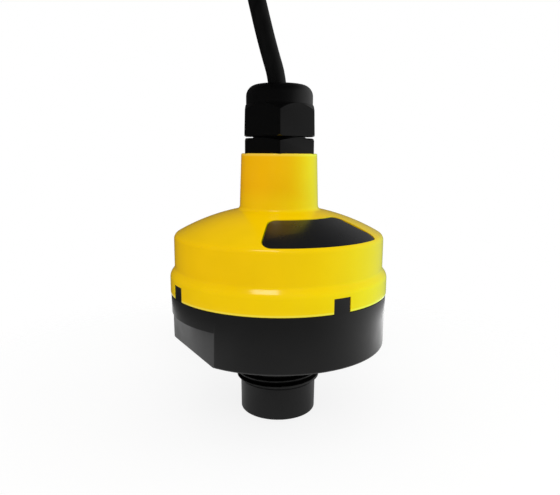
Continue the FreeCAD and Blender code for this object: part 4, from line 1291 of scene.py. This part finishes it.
def make_gland_body():
    body = prism("gland_collar", hexagon(HEX_HALF_FLAT), NECK_TOP, HEX_TOP)
    blank = [(0, COLLAR_LOW), (HEX_REACH, COLLAR_LOW), (HEX_REACH, COLLAR_CROWN),
             (COLLAR_TOP_RADIUS, HEX_TOP), (COLLAR_TOP_RADIUS, COLLAR_HIGH), (0, COLLAR_HIGH)]
    combine(body, turned_blank("blank", blank), "INTERSECT")
    hole = [(0, COLLAR_HOLE_LOW), (COLLAR_HOLE, COLLAR_HOLE_LOW),
            (COLLAR_HOLE, COLLAR_HOLE_HIGH), (0, COLLAR_HOLE_HIGH)]
    combine(body, turned_blank("hole", hole), "DIFFERENCE")
    step = (STEM_HIGH - STEM_LOW) / STEM_ROWS
    rows = [(STEM_RADIUS, STEM_LOW + step * row) for row in range(STEM_ROWS + 1)]
    stem_top = STEM_HIGH + STEM_CHAMFER
    stem = [(CABLE_HOLE, STEM_FOOT), (STEM_END_RADIUS, STEM_FOOT), (STEM_RADIUS, STEM_FOOT + STEM_CHAMFER),
            *rows, (STEM_END_RADIUS, stem_top), (SEAL_BORE, stem_top),
            (SEAL_BORE, SEAL_FLOOR), (CABLE_HOLE, SEAL_FLOOR)]
    combine(body, turned_blank("stem", stem), "UNION")
    shape_rows(body, STEM_RADIUS, stem_surface)
    return body


settle(make_gland_body(), "housing", "gland_black", gland_black, "gland_body", sharp=GLAND_SHARP)

# %% [markdown]
# ## Hidden pieces
# The boards, seals and the acoustic stack are closed in, but a cut-away view or an exploded drawing may
# show them. They could be modelled again, but their CAD solids are right as they are, so each only gets a
# finish. The board's tracks are the edges in a pattern of cells.

# %% Circuit board
BOARD_TRACKS = 320
TRACK_GREEN = (0.02, 0.16, 0.05)
LACQUER_GREEN = (0.006, 0.07, 0.022)
TRACK_FROM = 0.03
TRACK_TO = 0.09
BOARD_PATCHES = 300


def circuit_board():
    """Green board: copper tracks show under the lacquer as a slightly lighter pattern of lines."""
    material, tree, shader, place = start_finish("board_green")
    tracks = tree.nodes.new("ShaderNodeTexVoronoi")
    tracks.feature = "DISTANCE_TO_EDGE"
    tracks.inputs["Scale"].default_value = BOARD_TRACKS
    tree.links.new(place, tracks.inputs["Vector"])
    lines = tracks.outputs["Distance"]
    colour = two_tones(tree, lines, TRACK_GREEN, LACQUER_GREEN, TRACK_FROM, TRACK_TO)
    tree.links.new(colour, shader.inputs["Base Color"])
    tree.links.new(between(tree, noise(tree, place, BOARD_PATCHES), 0.28, 0.4), shader.inputs["Roughness"])
    return material


board_green = circuit_board()
print("board finish:", board_green.name)

# %% Finishes of the hidden pieces
FINISHES = {
    "seal_rubber": moulded("seal_rubber", (0.012, 0.012, 0.012), 0.62, 1400, 0.3, 0.3, 0.1),
    "cable_jacket": cable_jacket,
    "washer_nylon": moulded("washer_nylon", (0.68, 0.66, 0.6), 0.45, 1500, 0.1),
    "wire_insulation": moulded("wire_insulation", (0.42, 0.02, 0.015), 0.4, 1500, 0.1),
    "board_green": board_green,
    "spacer_brass": metal("spacer_brass", (0.72, 0.5, 0.2), 0.3),
    "screw_steel": metal("screw_steel", (0.56, 0.56, 0.55), 0.32),
    "chip_black": moulded("chip_black", (0.016, 0.016, 0.017), 0.6, 3000, 0.25, 0.4),
    "capacitor_can": metal("capacitor_can", (0.7, 0.7, 0.72), 0.35),
    "suppressor_blue": moulded("suppressor_blue", (0.02, 0.06, 0.3), 0.25, 800, 0.15),
    "terminal_green": moulded("terminal_green", (0.02, 0.2, 0.05), 0.45, 1500, 0.1),
    "layer_white": moulded("layer_white", (0.6, 0.59, 0.55), 0.6, 2200, 0.3),
    "piezo_silver": metal("piezo_silver", (0.74, 0.72, 0.68), 0.4),
}
slot_of = {part["node"]: part["material_slot"] for part in frame["record"]["subparts"]}
kept = [name for name, node in nodes.items() if not node.hide_render]
for name in kept:
    nodes[name].data.materials.clear()
    nodes[name].data.materials.append(FINISHES[slot_of[name]])
print("CAD nodes that keep their shape:", len(kept))

# %% [markdown]
# ## Light that depends on the ray
# In a product shot the background is white for the camera, but black plastic would turn grey if it
# mirrored that white all round. Black cards could stand about the object, as in a studio. Here the floor
# and the room ask what kind of ray meets them: they are white for the camera and for glass, mostly dark
# in gloss, and even as light.

# %% Levels by ray
def choose(tree, switch, off, on):
    """One value where the switch is 0, and the other where it is 1."""
    mix = tree.nodes.new("ShaderNodeMix")
    feed(tree, mix.inputs["Factor"], switch)
    feed(tree, mix.inputs["A"], off)
    feed(tree, mix.inputs["B"], on)
    return mix.outputs["Result"]


def by_ray(tree, dull, gloss, white):
    """White for the camera and through glass, another level in gloss, and a third as light."""
    paths = tree.nodes.new("ShaderNodeLightPath").outputs
    straight = reckon(tree, "MAXIMUM", paths["Is Camera Ray"], paths["Is Transmission Ray"])
    return choose(tree, straight, choose(tree, paths["Is Glossy Ray"], dull, gloss), white)


print("helpers for rays: choose, by_ray")

# %% [markdown]
# ## The floor
# The object stands on a plain white sheet. A large sheet would show its edge, so this one fades out.
# It glows white for the camera, and still keeps the soft shadow under the nose. In gloss it is dark in
# front and brightens towards the back and the two sides behind the object, as a lit sheet does in a dark
# studio: this draws the light edges of the base.

# %% Floor finish
FLOOR_RADIUS = 0.19
FLOOR_FADE = 0.145
FLOOR_WHITE = 0.83
FLOOR_DULL = 0.84
FLOOR_PALE = (0.20, 0.20, 0.20)
FLOOR_CLOUDS = 4
# Each side: degrees from the camera's side, the level on the axis, its steepness, and its limit.
FLOOR_SIDES = [(150, 0.18, 19.0, 9.0), (-120, 0.035, 62.0, 0.15), (180, 0.006, 45.0, 9.0)]


def rising(tree, place, side, level, steepness, most):
    """A level in gloss that rises towards one side, in degrees from the camera's side, up to a limit."""
    reach = along(tree, place, CAMERA_AZIMUTH + math.radians(side))
    power = reckon(tree, "POWER", math.e, reckon(tree, "MULTIPLY", reach, steepness))
    return reckon(tree, "MINIMUM", reckon(tree, "MULTIPLY", power, level), most)


def floor_finish():
    material, tree, shader, place = start_finish("floor_white")
    pale = two_tones(tree, noise(tree, place, FLOOR_CLOUDS), shade(FLOOR_PALE, 0.95), FLOOR_PALE)
    tree.links.new(pale, shader.inputs["Base Color"])
    shader.inputs["Roughness"].default_value = 0.9
    shader.inputs["Specular IOR Level"].default_value = 0.1
    shader.inputs["Emission Color"].default_value = (1, 1, 1, 1)
    gloss = 0.0
    for side in FLOOR_SIDES:
        gloss = reckon(tree, "ADD", gloss, rising(tree, place, *side))
    tree.links.new(by_ray(tree, FLOOR_DULL, gloss, FLOOR_WHITE), shader.inputs["Emission Strength"])
    distance = tree.nodes.new("ShaderNodeVectorMath")
    distance.operation = "LENGTH"
    tree.links.new(place, distance.inputs[0])
    fade = between(tree, distance.outputs["Value"], 1, 0, FLOOR_FADE, FLOOR_RADIUS)
    tree.links.new(fade, shader.inputs["Alpha"])
    material.cycles.emission_sampling = "NONE"
    return material


floor_white = floor_finish()
print("floor finish:", floor_white.name)

# %% Floor
floor_mesh = bmesh.new()
bmesh.ops.create_circle(floor_mesh, cap_ends=True, segments=96, radius=FLOOR_RADIUS)
floor = to_object("floor", floor_mesh)
floor.data.materials.append(floor_white)
print("floor across:", FLOOR_RADIUS * 2, "m")

# %% [markdown]
# ## Lamps
# Product shots like this are lit by large soft lamps. A lamp high in front draws the short bright lines
# on the cover's step, shoulder and neck. It lights the cover only, as if a flag shaded the gland, where
# it would leave a grey spot. Wider lamps from the front and the sides only fill, so gloss doesn't show
# them: they would lay broad grey patches over the black plastic.

# %% Lamps
AIM = Vector((0, 0, 0.065))
# Each lamp: degrees to the right and up, distance, width, height and power.
FILL_LAMPS = [("front_lamp", 10, 35, 0.9, 0.6, 0.5, 1.1), ("right_lamp", 90, 25, 0.8, 0.5, 0.7, 1.3),
              ("left_lamp", -75, 15, 0.9, 0.5, 0.6, 0.7)]


def soft_lamp(name, azimuth, elevation, distance, width, height, power, shows=False):
    """A soft box aimed at the cover; the azimuth is in degrees to the right of the camera's side."""
    a = CAMERA_AZIMUTH + math.radians(azimuth)
    e = math.radians(elevation)
    away = Vector((math.sin(a) * math.cos(e), -math.cos(a) * math.cos(e), math.sin(e)))
    light = bpy.data.lights.new(name, "AREA")
    light.shape = "RECTANGLE"
    light.size = width
    light.size_y = height
    light.energy = power
    lamp = bpy.data.objects.new(name, light)
    bpy.context.scene.collection.objects.link(lamp)
    lamp.location = AIM + away * distance
    lamp.rotation_mode = "QUATERNION"
    lamp.rotation_quaternion = away.to_track_quat("Z", "Y")
    lamp.visible_glossy = shows
    return lamp


key_lamp = soft_lamp("key_lamp", -17, 52, 0.7, 0.26, 0.12, 1.05, shows=True)
key_lit = bpy.data.collections.new("key_lit")
key_lit.objects.link(cover)
key_lamp.light_linking.receiver_collection = key_lit
for fill_lamp in FILL_LAMPS:
    soft_lamp(*fill_lamp)
print("lamps:", 1 + len(FILL_LAMPS))

# %% [markdown]
# ## The room
# The background is white. A picture of a studio could light the object, but a few levels are easier to
# steer. In gloss the camera's side of the room is dark, which keeps the black plastic black. The room is
# bright to the right only, like a white wall there, and dim high up, so the dome keeps its full colour.

# %% Room
ROOM_LEVEL = 0.72
ROOM_SIDE = CAMERA_AZIMUTH + math.radians(108)
ROOM_GLOSS = [(0.4, 0.03), (0.7, 0.08), (0.83, 0.25), (0.91, 0.38), (1.0, 0.55)]
CEILING = 0.25
CEILING_FROM = 0.55
CEILING_TO = 0.88


def studio_world():
    world = bpy.data.worlds.new("studio")
    world.use_nodes = True
    tree = world.node_tree
    background = tree.nodes["Background"]
    background.inputs["Color"].default_value = (1, 1, 1, 1)
    direction = tree.nodes.new("ShaderNodeTexCoord").outputs["Generated"]
    side = between(tree, along(tree, direction, ROOM_SIDE), 0, 1, -1, 1)
    ceiling = between(tree, height_of(tree, direction), 1.0, CEILING, CEILING_FROM, CEILING_TO)
    gloss = reckon(tree, "MULTIPLY", levels(tree, side, ROOM_GLOSS), ceiling)
    tree.links.new(by_ray(tree, ROOM_LEVEL, gloss, 1.0), background.inputs["Strength"])
    world.cycles.sampling_method = "NONE"
    return world


bpy.context.scene.world = studio_world()
bpy.context.scene.view_settings.view_transform = "Standard"
print("room level:", ROOM_LEVEL)
